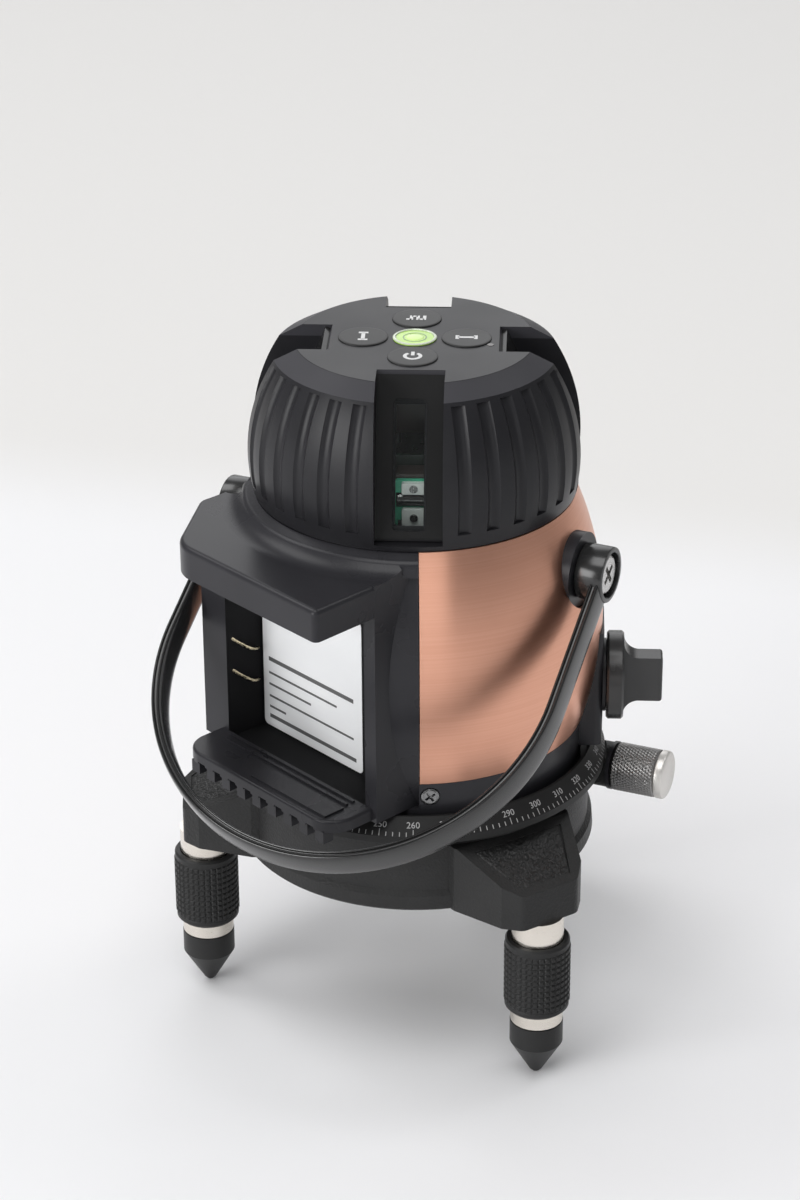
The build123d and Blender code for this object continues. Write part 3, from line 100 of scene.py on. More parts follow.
class Look:
    """Strings the shader nodes of one material together."""

    def __init__(self, name):
        self.material = bpy.data.materials.new(name)
        self.material.use_nodes = True
        self.tree = self.material.node_tree
        self.tree.nodes.clear()
        self.out = self.add("ShaderNodeOutputMaterial")
        self.shader = self.add("ShaderNodeBsdfPrincipled")
        self.link(self.shader, "BSDF", self.out, "Surface")
        self.place = self.add("ShaderNodeTexCoord")

    def add(self, kind):
        return self.tree.nodes.new(kind)

    def link(self, source, source_socket, target, target_socket):
        self.tree.links.new(source.outputs[source_socket], target.inputs[target_socket])

    def put(self, **values):
        """Sets inputs of the shader, with underscores for the spaces in their names."""
        for key, value in values.items():
            self.shader.inputs[key.replace("_", " ")].default_value = value

    def noise(self, scale, detail=2.0, rough=0.5, stretch=EVEN):
        mapping = self.add("ShaderNodeMapping")
        mapping.inputs["Scale"].default_value = stretch
        self.link(self.place, "Object", mapping, "Vector")
        texture = self.add("ShaderNodeTexNoise")
        texture.inputs["Scale"].default_value = scale
        texture.inputs["Detail"].default_value = detail
        texture.inputs["Roughness"].default_value = rough
        self.link(mapping, "Vector", texture, "Vector")
        return texture

    def ramp(self, source, low, high, start=NOISE_LOW, end=NOISE_HIGH, socket="Fac"):
        """Spreads a value over two colours."""
        ramp = self.add("ShaderNodeValToRGB")
        for stop, at, colour in zip(ramp.color_ramp.elements, (start, end), (low, high)):
            stop.position = at
            stop.color = opaque(colour)
        self.link(source, socket, ramp, "Fac")
        return ramp

    def span(self, texture, low, high):
        """Spreads a noise over two numbers."""
        spread = self.add("ShaderNodeMapRange")
        limits = {"From Min": NOISE_LOW, "From Max": NOISE_HIGH, "To Min": low, "To Max": high}
        for socket, value in limits.items():
            spread.inputs[socket].default_value = value
        self.link(texture, "Fac", spread, "Value")
        return spread

    def colour(self, texture, low, high):
        self.link(self.ramp(texture, low, high), "Color", self.shader, "Base Color")

    def gloss(self, texture, low, high):
        self.link(self.span(texture, low, high), "Result", self.shader, "Roughness")

    def relief(self, texture, strength, depth):
        bump = self.add("ShaderNodeBump")
        bump.inputs["Strength"].default_value = strength
        bump.inputs["Distance"].default_value = depth
        self.link(texture, "Fac", bump, "Height")
        self.link(bump, "Normal", self.shader, "Normal")


def grained(name, low, high, rough, grain, depth, tint=EVEN, strength=0.5, shine=0.5):
    """A moulded, cast or rubbery surface: fine grain in the normal, broad drift in colour and gloss."""
    look = Look(name)
    broad = look.noise(DRIFT_SCALE, DRIFT_DETAIL)
    look.colour(broad, grey(low, tint), grey(high, tint))
    look.gloss(broad, *rough)
    look.relief(look.noise(grain), strength, depth)
    look.put(Specular_IOR_Level=shine)
    return look.material


def inside_zone(look, zone):
    """A node that is 1 inside a block, given by its centre and half sizes, and 0 outside it."""
    parts = look.add("ShaderNodeSeparateXYZ")
    look.link(look.place, "Object", parts, "Vector")
    ranges = []
    for axis, centre, half in zip("XYZ", *zone):
        near = look.add("ShaderNodeMath")
        near.operation = "COMPARE"
        near.inputs[1].default_value = centre
        near.inputs[2].default_value = half
        look.link(parts, axis, near, 0)
        ranges.append(near)
    inside = ranges[0]
    for near in ranges[1:]:
        both = look.add("ShaderNodeMath")
        both.operation = "MULTIPLY"
        look.link(inside, "Value", both, 0)
        look.link(near, "Value", both, 1)
        inside = both
    return inside


def zoned(name, low, high, rough, grain, depth, tint, strength, shine, zone, zone_tone, zone_rough):
    """A grained surface with another tone and gloss in one zone."""
    look = Look(name)
    broad = look.noise(DRIFT_SCALE, DRIFT_DETAIL)
    inside = inside_zone(look, zone)
    paint = look.add("ShaderNodeMix")
    paint.data_type = "RGBA"
    satin = look.ramp(broad, grey(low, tint), grey(high, tint))
    other = look.ramp(broad, grey(zone_tone * ZONE_DARK, tint), grey(zone_tone, tint))
    look.link(inside, "Value", paint, "Factor")
    look.link(satin, "Color", paint, COLOUR_A)
    look.link(other, "Color", paint, COLOUR_B)
    look.link(paint, COLOUR_OUT, look.shader, "Base Color")
    gloss = look.add("ShaderNodeMix")
    gloss.inputs[NUMBER_B].default_value = zone_rough
    look.link(inside, "Value", gloss, "Factor")
    look.link(look.span(broad, *rough), "Result", gloss, NUMBER_A)
    look.link(gloss, NUMBER_OUT, look.shader, "Roughness")
    look.relief(look.noise(grain), strength, depth)
    look.put(Specular_IOR_Level=shine)
    return look.material


def metal(name, low, high, rough, lines_scale, stretch=EVEN):
    """A turned, ground or plated metal with fine tool lines."""
    look = Look(name)
    lines = look.noise(lines_scale, rough=LINE_NOISE, stretch=stretch)
    look.colour(look.noise(METAL_DRIFT_SCALE, METAL_DRIFT_DETAIL), low, high)
    look.gloss(lines, *rough)
    look.relief(lines, LINE_STRENGTH, LINE_DEPTH)
    look.put(Metallic=1.0)
    return look.material


def copper_look():
    """Copper coloured skin brushed round the axis."""
    look = Look("copper_brushed")
    lines = look.noise(1.0, rough=LINE_NOISE, stretch=BRUSH_LINES)
    look.colour(look.noise(1.0, stretch=BRUSH_DRIFT), COPPER_DARK, COPPER_PALE)
    look.gloss(lines, *COPPER_ROUGH)
    look.relief(lines, BRUSH_STRENGTH, LINE_DEPTH)
    tangent = look.add("ShaderNodeTangent")
    tangent.direction_type = "RADIAL"
    tangent.axis = "Z"
    look.link(tangent, "Tangent", look.shader, "Tangent")
    look.put(Metallic=1.0, Anisotropic=0.8, Anisotropic_Rotation=0.25)
    return look.material


def vial_look(name, low, high):
    """Smooth plastic or liquid under a clear coat."""
    look = Look(name)
    look.colour(look.noise(VIAL_DRIFT_SCALE), low, high)
    look.put(Roughness=0.12, Coat_Weight=0.6, Coat_Roughness=0.05)
    return look.material


def clear(name, tint, gloss):
    """Thin clear plastic: mostly see-through, with a steady share of sharp reflection."""
    look = Look(name)
    look.tree.nodes.remove(look.shader)
    see = look.add("ShaderNodeBsdfTransparent")
    pale = tuple(min(1, share * HAZE_GAIN) for share in tint)
    look.link(look.ramp(look.noise(HAZE_SCALE), tint, pale), "Color", see, "Color")
    shine = look.add("ShaderNodeBsdfGlossy")
    shine.inputs["Roughness"].default_value = CLEAR_ROUGH
    mix = look.add("ShaderNodeMixShader")
    mix.inputs["Fac"].default_value = gloss
    look.link(see, "BSDF", mix, 1)
    look.link(shine, "BSDF", mix, 2)
    look.link(mix, "Shader", look.out, "Surface")
    return look.material


# Zones, each by its centre and half sizes
# Painted shade: inside the battery bay the housing takes a darker tone, standing for the shade in that
# recess
BAY_INSIDE_SHADE = ((0.0, -0.0390, 0.0626), (0.0291, 0.0066, 0.0308))
# Painted highlight: a band round the head's top rim, far lighter than the rest of the head, standing for
# the light its chamfer catches
HEAD_RIM_HIGHLIGHT = ((0.0, 0.0, 0.1483), (0.1, 0.1, 0.0016))
# The slightly blue tint of the large black mouldings
COOL = (1.0, 0.985, 1.12)

# Plastics, paints, paper and the like: dark and pale tone, range of roughness, scale and depth of grain
BLACK = grained("abs_black", 0.022, 0.028, (0.28, 0.36), 4200, 0.00003, COOL, strength=0.35, shine=0.22)
# Housing black, darker and matte in the bay zone as painted shade
HOUSING = zoned("housing_black", 0.022, 0.028, (0.25, 0.32), 4200, 0.00003, COOL, strength=0.35, shine=0.22,
                zone=BAY_INSIDE_SHADE, zone_tone=0.008, zone_rough=0.75)
# Head black, lighter in the top rim zone as a painted highlight
HEAD = zoned("head_black", 0.014, 0.019, (0.30, 0.38), 3800, 0.00004, COOL, strength=0.4, shine=0.235,
             zone=HEAD_RIM_HIGHLIGHT, zone_tone=0.046, zone_rough=0.42)
BAIL = grained("bail_black", 0.016, 0.021, (0.17, 0.22), 3600, 0.00001, strength=0.3, shine=0.6)
LOCK = grained("lock_black", 0.034, 0.042, (0.24, 0.32), 4200, 0.00003, strength=0.35, shine=0.45)
PAD = grained("pad_rough", 0.010, 0.020, (0.26, 0.40), 1500, 0.0001, strength=0.8, shine=0.3)
CAST = grained("cast_black", 0.019, 0.028, (0.40, 0.54), 1300, 0.00022, strength=0.9, shine=0.22)
DIAL = grained("dial_black", 0.014, 0.019, (0.36, 0.44), 3600, 0.00003, shine=0.22)
GLOSS = grained("window_black", 0.013, 0.017, (0.14, 0.20), 900, 0.00001, strength=0.1, shine=0.3)
RUBBER = grained("key_rubber", 0.022, 0.028, (0.30, 0.38), 4200, 0.00003, shine=0.22)
TIP = grained("tip_black", 0.018, 0.024, (0.36, 0.46), 3000, 0.00004, shine=0.25)
GRIP = grained("grip_black", 0.018, 0.024, (0.36, 0.46), 3600, 0.00003, shine=0.25)
WHITE_SLIDE = grained("slide_white", 0.72, 0.80, (0.45, 0.55), 2500, 0.00002)
# The clamp blocks are aluminium; this diffuse white is partly their own pale tone and partly a painted
# reflection of the bright light they show
HOLDER = grained("holder_white", 0.78, 0.86, (0.25, 0.35), 1500, 0.00002, tint=(0.97, 1.0, 0.98))
BARREL = grained("barrel_brown", 0.035, 0.05, (0.3, 0.4), 1500, 0.00002, tint=(1.0, 0.72, 0.66))
BOARD = grained("board_green", 0.42, 0.52, (0.35, 0.45), 1200, 0.00003, tint=(0.14, 1.0, 0.62))
# Painted shade: a near-black copy of the green board, for the driver boards in the unlit upper inside of
# the head
DARK_BOARD = grained("board_dark", 0.016, 0.024, (0.35, 0.45), 1200, 0.00003, tint=(0.5, 1.0, 0.75))
INK = grained("ink_white", 0.66, 0.76, (0.5, 0.6), 2500, 0.00001)
DIAL_INK = grained("ink_dial", 0.36, 0.44, (0.5, 0.6), 2500, 0.00001)
PAPER = grained("label_paper", 0.90, 0.95, (0.4, 0.5), 2200, 0.00001, tint=(0.98, 0.99, 1.0))
RULE = grained("label_rule", 0.09, 0.13, (0.5, 0.6), 2200, 0.00001)
LIGHT = grained("light_smoke", 0.12, 0.16, (0.2, 0.3), 900, 0.00001, tint=(1, 0.94, 0.92))
MAGNET = grained("magnet_grey", 0.10, 0.14, (0.4, 0.5), 1500, 0.00004)

# Metals: dark and pale colour, range of roughness, scale of the tool lines
NICKEL = metal("nickel", (0.74, 0.69, 0.62), (0.84, 0.79, 0.72), (0.20, 0.28), 1.0, (300, 300, 3000))
SATIN = metal("nickel_satin", (0.66, 0.64, 0.61), (0.74, 0.72, 0.69), (0.36, 0.46), 1500)
# Painted shade: the knurl body is nickel coloured far darker than the plain end, standing for the shade
# between its teeth
KNURL = metal("nickel_knurl_painted_shade", (0.24, 0.235, 0.23), (0.31, 0.305, 0.30), (0.28, 0.38), 1500)
STEEL = metal("steel", (0.52, 0.51, 0.50), (0.62, 0.61, 0.60), (0.22, 0.34), 1500)
ZINC = metal("zinc_dark", (0.20, 0.20, 0.20), (0.27, 0.27, 0.27), (0.24, 0.34), 1500)
GILT = metal("spring_gilt", (0.74, 0.64, 0.42), (0.82, 0.72, 0.50), (0.22, 0.30), 1500)
ALLOY = metal("alloy", (0.66, 0.67, 0.68), (0.76, 0.77, 0.78), (0.26, 0.38), 1200)
BRONZE = metal("bronze", (0.62, 0.44, 0.18), (0.72, 0.54, 0.25), (0.24, 0.34), 1200)
DAMPER = metal("damper_copper", (0.62, 0.31, 0.20), (0.72, 0.38, 0.26), (0.24, 0.34), 1200)
COPPER = copper_look()

# Vial: dark and pale colour
VIAL = vial_look("vial_lime", (0.36, 0.62, 0.06), (0.46, 0.74, 0.10))
VIAL_RIM = vial_look("vial_rim", (0.52, 0.59, 0.44), (0.60, 0.66, 0.52))
VIAL_LINE = vial_look("vial_line", (0.10, 0.22, 0.02), (0.14, 0.28, 0.04))
# The bubble is real; its paler green than the liquid is a painted highlight
BUBBLE = vial_look("vial_bubble", (0.55, 0.80, 0.18), (0.62, 0.86, 0.26))

# Clear pieces: tint and share of reflection
PANE = clear("pane_clear", (0.95, 0.97, 0.96), 0.03)
# Painted shade: the lens rods are tinted dark, standing for the unlit upper inside of the head
LENS = clear("lens_painted_shade", (0.22, 0.17, 0.16), 0.12)

FINISH = {
    HOUSING: ["bay_housing"],
    BLACK: ["lower_ring", "lock_column", "handle_bosses", "upper_deck", "fine_bush"],
    HEAD: ["head_cap"],
    BAIL: ["bail_handle"],
    LOCK: ["lock_knob"],
    CAST: ["tribrach_base"],
    DIAL: ["dial_ring"],
    GLOSS: ["window_frames"],
    COPPER: ["copper_sleeve"],
    NICKEL: ["foot_barrels", "foot_stem_1", "foot_stem_2", "foot_stem_3"],
    KNURL: ["fine_knob"],
    GRIP: ["foot_sleeve_1", "foot_sleeve_2", "foot_sleeve_3"],
    TIP: ["foot_tip_1", "foot_tip_2", "foot_tip_3"],
    STEEL: ["worm_shaft", "lock_shaft", "pivot_screws", "ring_screws", "gimbal_pins"],
    GILT: ["contact_springs"],
    ALLOY: ["turntable", "chassis", "gimbal_ring", "pendulum_frame"],
    # The horizontal module takes this near-black brown as painted shade of the unlit upper inside of the
    # head
    BARREL: ["module_holders", "module_barrels", "horizontal_module"],
    BRONZE: ["tripod_insert", "base_bearing", "drive_wheel", "plumb_module", "lock_plunger"],
    DAMPER: ["damping_plate"],
    MAGNET: ["magnet_ring"],
    WHITE_SLIDE: ["slide_ring", "clutch_washer"],
    RUBBER: ["key_1", "key_2", "key_3", "key_4", "key_mat"],
    BOARD: ["keypad_board", "main_board"],
    DARK_BOARD: ["driver_boards"],
    PANE: ["window_glasses"],
    LENS: ["lens_rods"],
    VIAL: ["bubble_vial"],
    LIGHT: ["status_light"],
}
for material, names in FINISH.items():
    for name in names:
        for material_slot in NODES[name].material_slots:
            material_slot.material = material


# Geometry helpers, in millimetres

UP = Vector((0, 0, 1))
SHARP = math.radians(35)
CORNER_STEPS = 6
ARC_STEPS = 24
QUARTER_STEPS = 9
LETTER_STEPS = 3
WIRE_SIDES = 10
# A direction that no wire runs along
WIRE_SIDE = (1, 0, 0.3)
# A solid turned form stops this far from its axis
AXIS_R = 0.01
# Points within this of a radius count as lying on it
TOUCH = 1e-6


def out(azimuth, r=1.0, z=0.0):
    """A point at this azimuth, counted from the bay side towards +X."""
    a = math.radians(azimuth)
    return Vector((r * math.sin(a), -r * math.cos(a), z))


def box(node):
    """A node's lowest and highest corners."""
    low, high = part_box(node)
    return Vector(low) / MM, Vector(high) / MM


def reach(node, origin, direction):
    """How far a node runs along an axis, and how far it stands off that axis."""
    axis = Vector(direction).normalized()
    spots = [v.co / MM - Vector(origin) for v in NODES[node].data.vertices]
    along = [spot.dot(axis) for spot in spots]
    off = max((spot - axis * a).length for spot, a in zip(spots, along))
    return min(along), max(along), off


def place_at(origin, x_dir, z_dir):
    """A frame with its z along z_dir and its x as near to x_dir as that allows."""
    z = Vector(z_dir).normalized()
    x = Vector(x_dir)
    x = (x - z * x.dot(z)).normalized()
    place = Matrix((x, z.cross(x), z)).transposed().to_4x4()
    place.translation = Vector(origin)
    return place


def lifted(place, height):
    """The same frame, moved along its own z."""
    return place @ Matrix.Translation((0, 0, height))


class Shape:
    """Gathers the points and faces of one piece."""

    def __init__(self):
        self.points = []
        self.faces = []

    def join(self, first, second, count):
        """Faces between two rings of points, each ring given by the number of its first point."""
        for i in range(count):
            j = (i + 1) % count
            self.faces.append([first + i, first + j, second + j, second + i])

    def loft(self, rings):
        """A skin over rings of points, closed at both ends."""
        count = len(rings[0])
        start = len(self.points)
        for ring in rings:
            self.points += ring
        end = len(self.points)
        for first in range(start, end - count, count):
            self.join(first, first + count, count)
        self.faces.append(list(reversed(range(start, start + count))))
        self.faces.append(list(range(end - count, end)))

    def prism(self, outline, place, height):
        """A flat outline raised along the place's z."""
        self.loft([[place @ Vector((x, y, z)) for x, y in outline] for z in (0, height)])

    def lathe(self, profile, place, steps, radius=None):
        """A closed profile of (r, z) turned round the place's z; radius(r, z, step) may move a point."""
        count = len(profile)
        start = len(self.points)
        for k in range(steps):
            turn = 2 * math.pi * k / steps
            for r, z in profile:
                at = radius(r, z, k) if radius else r
                self.points.append(place @ Vector((at * math.cos(turn), at * math.sin(turn), z)))
        for k in range(steps):
            following = (k + 1) % steps
            self.join(start + k * count, start + following * count, count)

    def tube(self, path, r):
        """A round wire along a path."""
        last = len(path) - 1
        rings = []
        for k, point in enumerate(path):
            ahead = path[min(k + 1, last)] - path[max(k - 1, 0)]
            ring = place_at(point, WIRE_SIDE, ahead)
            rings.append([ring @ Vector((x, y, 0)) for x, y in circle(r, WIRE_SIDES)])
        self.loft(rings)

    def flat(self, outlines, place, height):
        """Closed outlines filled as one plate, inner ones being holes, raised along the place's z."""
        curve = bpy.data.curves.new("plate", "CURVE")
        curve.dimensions = "2D"
        curve.fill_mode = "BOTH"
        curve.extrude = height / 2
        for outline in outlines:
            spline = curve.splines.new("POLY")
            spline.points.add(len(outline) - 1)
            for point, (x, y) in zip(spline.points, outline):
                point.co = (x, y, 0, 1)
            spline.use_cyclic_u = True
        self.take(curve, lifted(place, height / 2))

    def text(self, words, size, place, height):
        """Words that stand on the place's x axis, centred there and raised along its z."""
        curve = bpy.data.curves.new("words", "FONT")
        curve.body = words
        curve.size = size
        curve.align_x = "CENTER"
        curve.resolution_u = LETTER_STEPS
        curve.extrude = height / 2
        self.take(curve, lifted(place, height / 2))

    def take(self, curve, place):
        """Adds the mesh of a curve and removes the curve."""
        holder = bpy.data.objects.new(curve.name, curve)
        bpy.context.scene.collection.objects.link(holder)
        bpy.context.view_layer.update()
        mesh = bpy.data.meshes.new_from_object(holder.evaluated_get(bpy.context.evaluated_depsgraph_get()))
        start = len(self.points)
        self.points += [place @ v.co for v in mesh.vertices]
        self.faces += [[start + corner for corner in face.vertices] for face in mesh.polygons]
        bpy.data.objects.remove(holder)
        bpy.data.meshes.remove(mesh)
        bpy.data.curves.remove(curve)

    def piece(self, name, material, body, slot, smooth=False):
        """Makes the piece, riding on a body and with its material; the slot argument is not used."""
        mesh = bpy.data.meshes.new(name)
        mesh.from_pydata([tuple(point * MM) for point in self.points], [], self.faces)
        mesh.validate()
        closed = bmesh.new()
        closed.from_mesh(mesh)
        bmesh.ops.recalc_face_normals(closed, faces=closed.faces)
        closed.to_mesh(mesh)
        closed.free()
        mesh.materials.append(material)
        for face in mesh.polygons:
            face.use_smooth = smooth
        if smooth:
            mesh.set_sharp_from_angle(angle=SHARP)
        obj = bpy.data.objects.new(name, mesh)
        bpy.context.scene.collection.objects.link(obj)
        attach(obj, body)
        return obj


def circle(r, steps):
    turn = 2 * math.pi / steps
    return [(r * math.cos(k * turn), r * math.sin(k * turn)) for k in range(steps)]


def arc_band(inner, outer, start, end):
    """A flat ring segment from one angle to another, in degrees."""
    angles = [math.radians(start + (end - start) * k / ARC_STEPS) for k in range(ARC_STEPS + 1)]
    rim = [(outer * math.cos(a), outer * math.sin(a)) for a in angles]
    return rim + [(inner * math.cos(a), inner * math.sin(a)) for a in reversed(angles)]


def quarter(width, height):
    """A quarter of an ellipse, from its side to its top."""
    angles = [math.radians(90 * k / QUARTER_STEPS) for k in range(QUARTER_STEPS + 1)]
    return [(width * math.cos(a), height * math.sin(a)) for a in angles]


def rectangle(width, height, x=0.0, y=0.0):
    w, h = width / 2, height / 2
    return [(x - w, y - h), (x + w, y - h), (x + w, y + h), (x - w, y + h)]


def rounded(width, height, r):
    """A rectangle with round corners."""
    w, h = width / 2 - r, height / 2 - r
    points = []
    for x, y, first in ((w, h, 0), (-w, h, 90), (-w, -h, 180), (w, -h, 270)):
        for k in range(CORNER_STEPS + 1):
            a = math.radians(first + 90 * k / CORNER_STEPS)
            points.append((x + r * math.cos(a), y + r * math.sin(a)))
    return points


def cross(arm, width):
    w = width / 2
    return [(arm, -w), (arm, w), (w, w), (w, arm), (-w, arm), (-w, w),
            (-arm, w), (-arm, -w), (-w, -w), (-w, -arm), (w, -arm), (w, -w)]


def straight_side(r, low, high, count):
    """Evenly spaced profile points up a straight side."""
    return [(r, low + (high - low) * k / count) for k in range(count + 1)]


def ridge(t):
    """A zigzag from 0 at whole numbers to 1 half way between them."""
    return 1 - abs((t % 1.0) * 2 - 1)


# Places that several sections use, azimuths in degrees

PIVOT_SCREWS = (112.5, 292.5)
PIVOT_Z = 90.5
WINDOWS = (45, 135, 225, 315)


# Bail: a crowned strap with round, grooved edges, and an eye at each pivot

BAIL_TILT = math.radians(54.7)
BAIL_RADIUS = 57.3
BAIL_CENTRE = 44.0
# Root of the straight arm in the bail's plane: across the body, and along the arm from the pivot
ARM_ROOT = (56.6, 3.0)
STRAP_START = 6.3
STRAP_STEPS = 120
# A quarter of the section: through the strap's thickness, and across its width
STRAP_QUARTER = ((1.65, 0), (1.63, 1.2), (1.57, 2.3), (1.47, 3.2), (1.36, 3.9), (1.2, 4.4), (1.0, 4.7),
                 (0.8, 4.79), (0.6, 4.7), (0.46, 4.45), (0.4, 4.15), (0.2, 4.05), (0, 4.02))
# The eye's radius, and its distance from the middle of the body
EYE_PROFILE = ((4.05, 50.6), (7.3, 50.6), (7.65, 50.75), (7.8, 51.1), (7.8, 58.1), (7.65, 58.45),
               (7.3, 58.6), (6.5, 58.6), (6.3, 58.4), (6.3, 55.8), (4.05, 55.8))
EYE_STEPS = 72


def on_bow(angle):
    """A point on the round of the bail, in the bail's plane."""
    return Vector((BAIL_RADIUS * math.cos(angle), BAIL_CENTRE + BAIL_RADIUS * math.sin(angle)))


def bail_stations():
    """Points along the strap in the bail's plane, each with the angle that its outside faces."""
    across, along = ARM_ROOT
    drop = along - BAIL_CENTRE
    tangent = math.atan2(drop, across) + math.acos(BAIL_RADIUS / math.hypot(across, drop))
    touch = on_bow(tangent)
    start = Vector(ARM_ROOT).lerp(touch, (STRAP_START - along) / (touch.y - along))
    stations = [(start, tangent)]
    for k in range(STRAP_STEPS + 1):
        angle = tangent + (math.pi - 2 * tangent) * k / STRAP_STEPS
        stations.append((on_bow(angle), angle))
    stations.append((Vector((-start.x, start.y)), math.pi - tangent))
    return stations


def strap_section():
    """The whole section, mirrored twice from its quarter."""
    half = list(STRAP_QUARTER) + [(-x, y) for x, y in reversed(STRAP_QUARTER[:-1])]
    return half + [(x, -y) for x, y in reversed(half[1:-1])]


def bail_bow():
    across = out(PIVOT_SCREWS[0])
    arm = out(PIVOT_SCREWS[0] - 90, math.sin(BAIL_TILT), -math.cos(BAIL_TILT))
    normal = across.cross(arm)
    pivot = UP * PIVOT_Z
    section = strap_section()
    rings = []
    for spot, angle in bail_stations():
        centre = pivot + across * spot.x + arm * spot.y
        inward = -across * math.cos(angle) - arm * math.sin(angle)
        rings.append([centre + inward * x + normal * y for x, y in section])
    strap = Shape()
    strap.loft(rings)
    for azimuth in PIVOT_SCREWS:
        strap.lathe(EYE_PROFILE, place_at(pivot, UP, out(azimuth)), EYE_STEPS)
    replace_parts(strap.piece("bail_bow", BAIL, "handle", "black_plastic", smooth=True), "bail_handle")


bail_bow()


# Knurled sleeves of the feet

CELL_STEPS = 4
SLEEVE_ROWS = 10
SLEEVE_CELLS = 34
KNURL_DEPTH = 0.35
# How fast a groove's side rises to the flat top of a cell
KNURL_RISE = 2
PLAIN_RIM = 2.2
PLAIN_STEP = 0.25
GRIP_EDGE = 0.3
# Bevels at the lower and the upper end: inwards, and along the sleeve
LOWER_BEVEL = (1.1, 0.9)
UPPER_BEVEL = (0.7, 0.6)
SLEEVE_FLOOR = 4.0
SPIGOT_BORE = 4.1
BARREL_BORE = 7.5


def knurled_sleeve(i):
    low, high = box(f"foot_sleeve_{i}")
    axis = Vector(JOINTS[f"sleeve_{i}_turn"]["pos_m"]) / MM
    r = (high.x - low.x) / 2
    top, end = high.z, low.z
    floor = end + SLEEVE_FLOOR
    plain = r - PLAIN_STEP
    grip_low, grip_high = end + PLAIN_RIM, top - PLAIN_RIM
    profile = [(SPIGOT_BORE, end), (r - LOWER_BEVEL[0], end), (plain, end + LOWER_BEVEL[1])]
    profile += [(plain, grip_low - GRIP_EDGE)]
    profile += straight_side(r, grip_low, grip_high, SLEEVE_ROWS * CELL_STEPS)
    profile += [(plain, grip_high + GRIP_EDGE)]
    profile += [(plain, top - UPPER_BEVEL[1]), (r - UPPER_BEVEL[0], top)]
    profile += [(BARREL_BORE, top), (BARREL_BORE, floor), (SPIGOT_BORE, floor)]

    def relief(radius, z, step):
        if radius < r - TOUCH:
            return radius
        row = (z - grip_low) / (grip_high - grip_low) * SLEEVE_ROWS
        groove = min(ridge(row), ridge(step / CELL_STEPS))
        return r - KNURL_DEPTH + KNURL_DEPTH * min(1.0, groove * KNURL_RISE)

    sleeve = Shape()
    sleeve.lathe(profile, Matrix.Translation((axis.x, axis.y, 0)), SLEEVE_CELLS * CELL_STEPS, relief)
    piece = sleeve.piece(f"knurled_sleeve_{i}", GRIP, f"sleeve_{i}", "grip_black")
    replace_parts(piece, f"foot_sleeve_{i}")


for foot in (1, 2, 3):
    knurled_sleeve(foot)


# Fine adjustment knob: a diamond knurl, darkened by painted shade, and a plain bright end

FINE_CHAMFER = 0.6
FINE_BAND = 2.6
FINE_JOIN = 0.01
FINE_CAP = 1.4
FINE_BORE = 3.1
FINE_STARTS = 44
FINE_SLANT = 0.55
FINE_CUT = 0.22
FINE_ROWS = 48
# Edges of the plain end: its chamfer, its rounding, and the rounding's middle point inwards and back
END_CHAMFER = 0.3
END_ROUND = 0.9
END_MIDDLE = (0.25, 0.35)
END_STEPS = 96


def fine_knob():
    turning = JOINTS["fine_knob_turn"]
    foot = Vector(turning["pos_m"]) / MM
    start, end, r = reach("fine_knob", foot, turning["axis"])
    place = place_at(foot, UP, turning["axis"])
    band = end - FINE_BAND
    profile = [(FINE_BORE, start), (r - FINE_CHAMFER, start)]
    profile += straight_side(r, start + FINE_CHAMFER, band - FINE_CHAMFER, FINE_ROWS)
    profile += [(r - FINE_CHAMFER, band - FINE_JOIN), (FINE_BORE, band - FINE_JOIN)]

    def relief(radius, z, step):
        if radius < r - TOUCH:
            return radius
        turn = step / CELL_STEPS
        lean = z * FINE_SLANT / (2 * math.pi * r / FINE_STARTS)
        return r - FINE_CUT * (1 - min(ridge(turn + lean), ridge(turn - lean)))

    knob = Shape()
    knob.lathe(profile, place, FINE_STARTS * CELL_STEPS, relief)
    piece = knob.piece("knurled_fine_knob", KNURL, "fine_adjust", "nickel")
    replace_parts(piece, "fine_knob")
    edge = [(r - END_CHAMFER, band), (r, band + END_CHAMFER), (r, end - END_ROUND)]
    edge += [(r - END_MIDDLE[0], end - END_MIDDLE[1]), (r - END_ROUND, end)]
    inside = [(AXIS_R, end), (AXIS_R, end - FINE_CAP), (FINE_BORE, end - FINE_CAP)]
    tip = Shape()
    tip.lathe([(FINE_BORE, band)] + edge + inside, place, END_STEPS)
    tip.piece("fine_knob_end", SATIN, "fine_adjust", "nickel", smooth=True)


fine_knob()


# Washer between the lock knob and its column

WASHER_R = 10.4
WASHER_BORE = 3.1
WASHER_CHAMFER = 0.2
WASHER_SUNK = 0.15
WASHER_GAP = 0.12
WASHER_STEPS = 64


def lock_washer():
    turning = JOINTS["lock_turn"]
    foot = Vector(turning["pos_m"]) / MM
    outward = Vector(turning["axis"])
    if outward.dot(Vector((foot.x, foot.y, 0))) < 0:
        outward = -outward
    back = reach("lock_knob", foot, outward)[0] - WASHER_GAP
    face = reach("lock_column", foot, outward)[1] - WASHER_SUNK
    profile = [(WASHER_BORE, face), (WASHER_R, face), (WASHER_R, back - WASHER_CHAMFER)]
    profile += [(WASHER_R - WASHER_CHAMFER, back), (WASHER_BORE, back)]
    washer = Shape()
    washer.lathe(profile, place_at(foot, UP, outward), WASHER_STEPS)
    washer.piece("lock_washer", BLACK, "turret", "black_plastic", smooth=True)


lock_washer()


# Rough pads let into the tops of the three lugs

LUG_AZIMUTHS = (80.5, 200.5, 320.5)
# Upper and lower end of a lug's sloping top: distance from the axis, and height
LUG_CREST = (49.0, 20.0)
LUG_END = (67.5, 10.75)
PAD_BACK_HALF = 14.3
PAD_FRONT_HALF = 8.0
PAD_MARGIN = 1.7
PAD_DEPTH = 0.55
PAD_THIN = 0.1
PAD_RELIEF = 0.24
PAD_CELL = 0.4
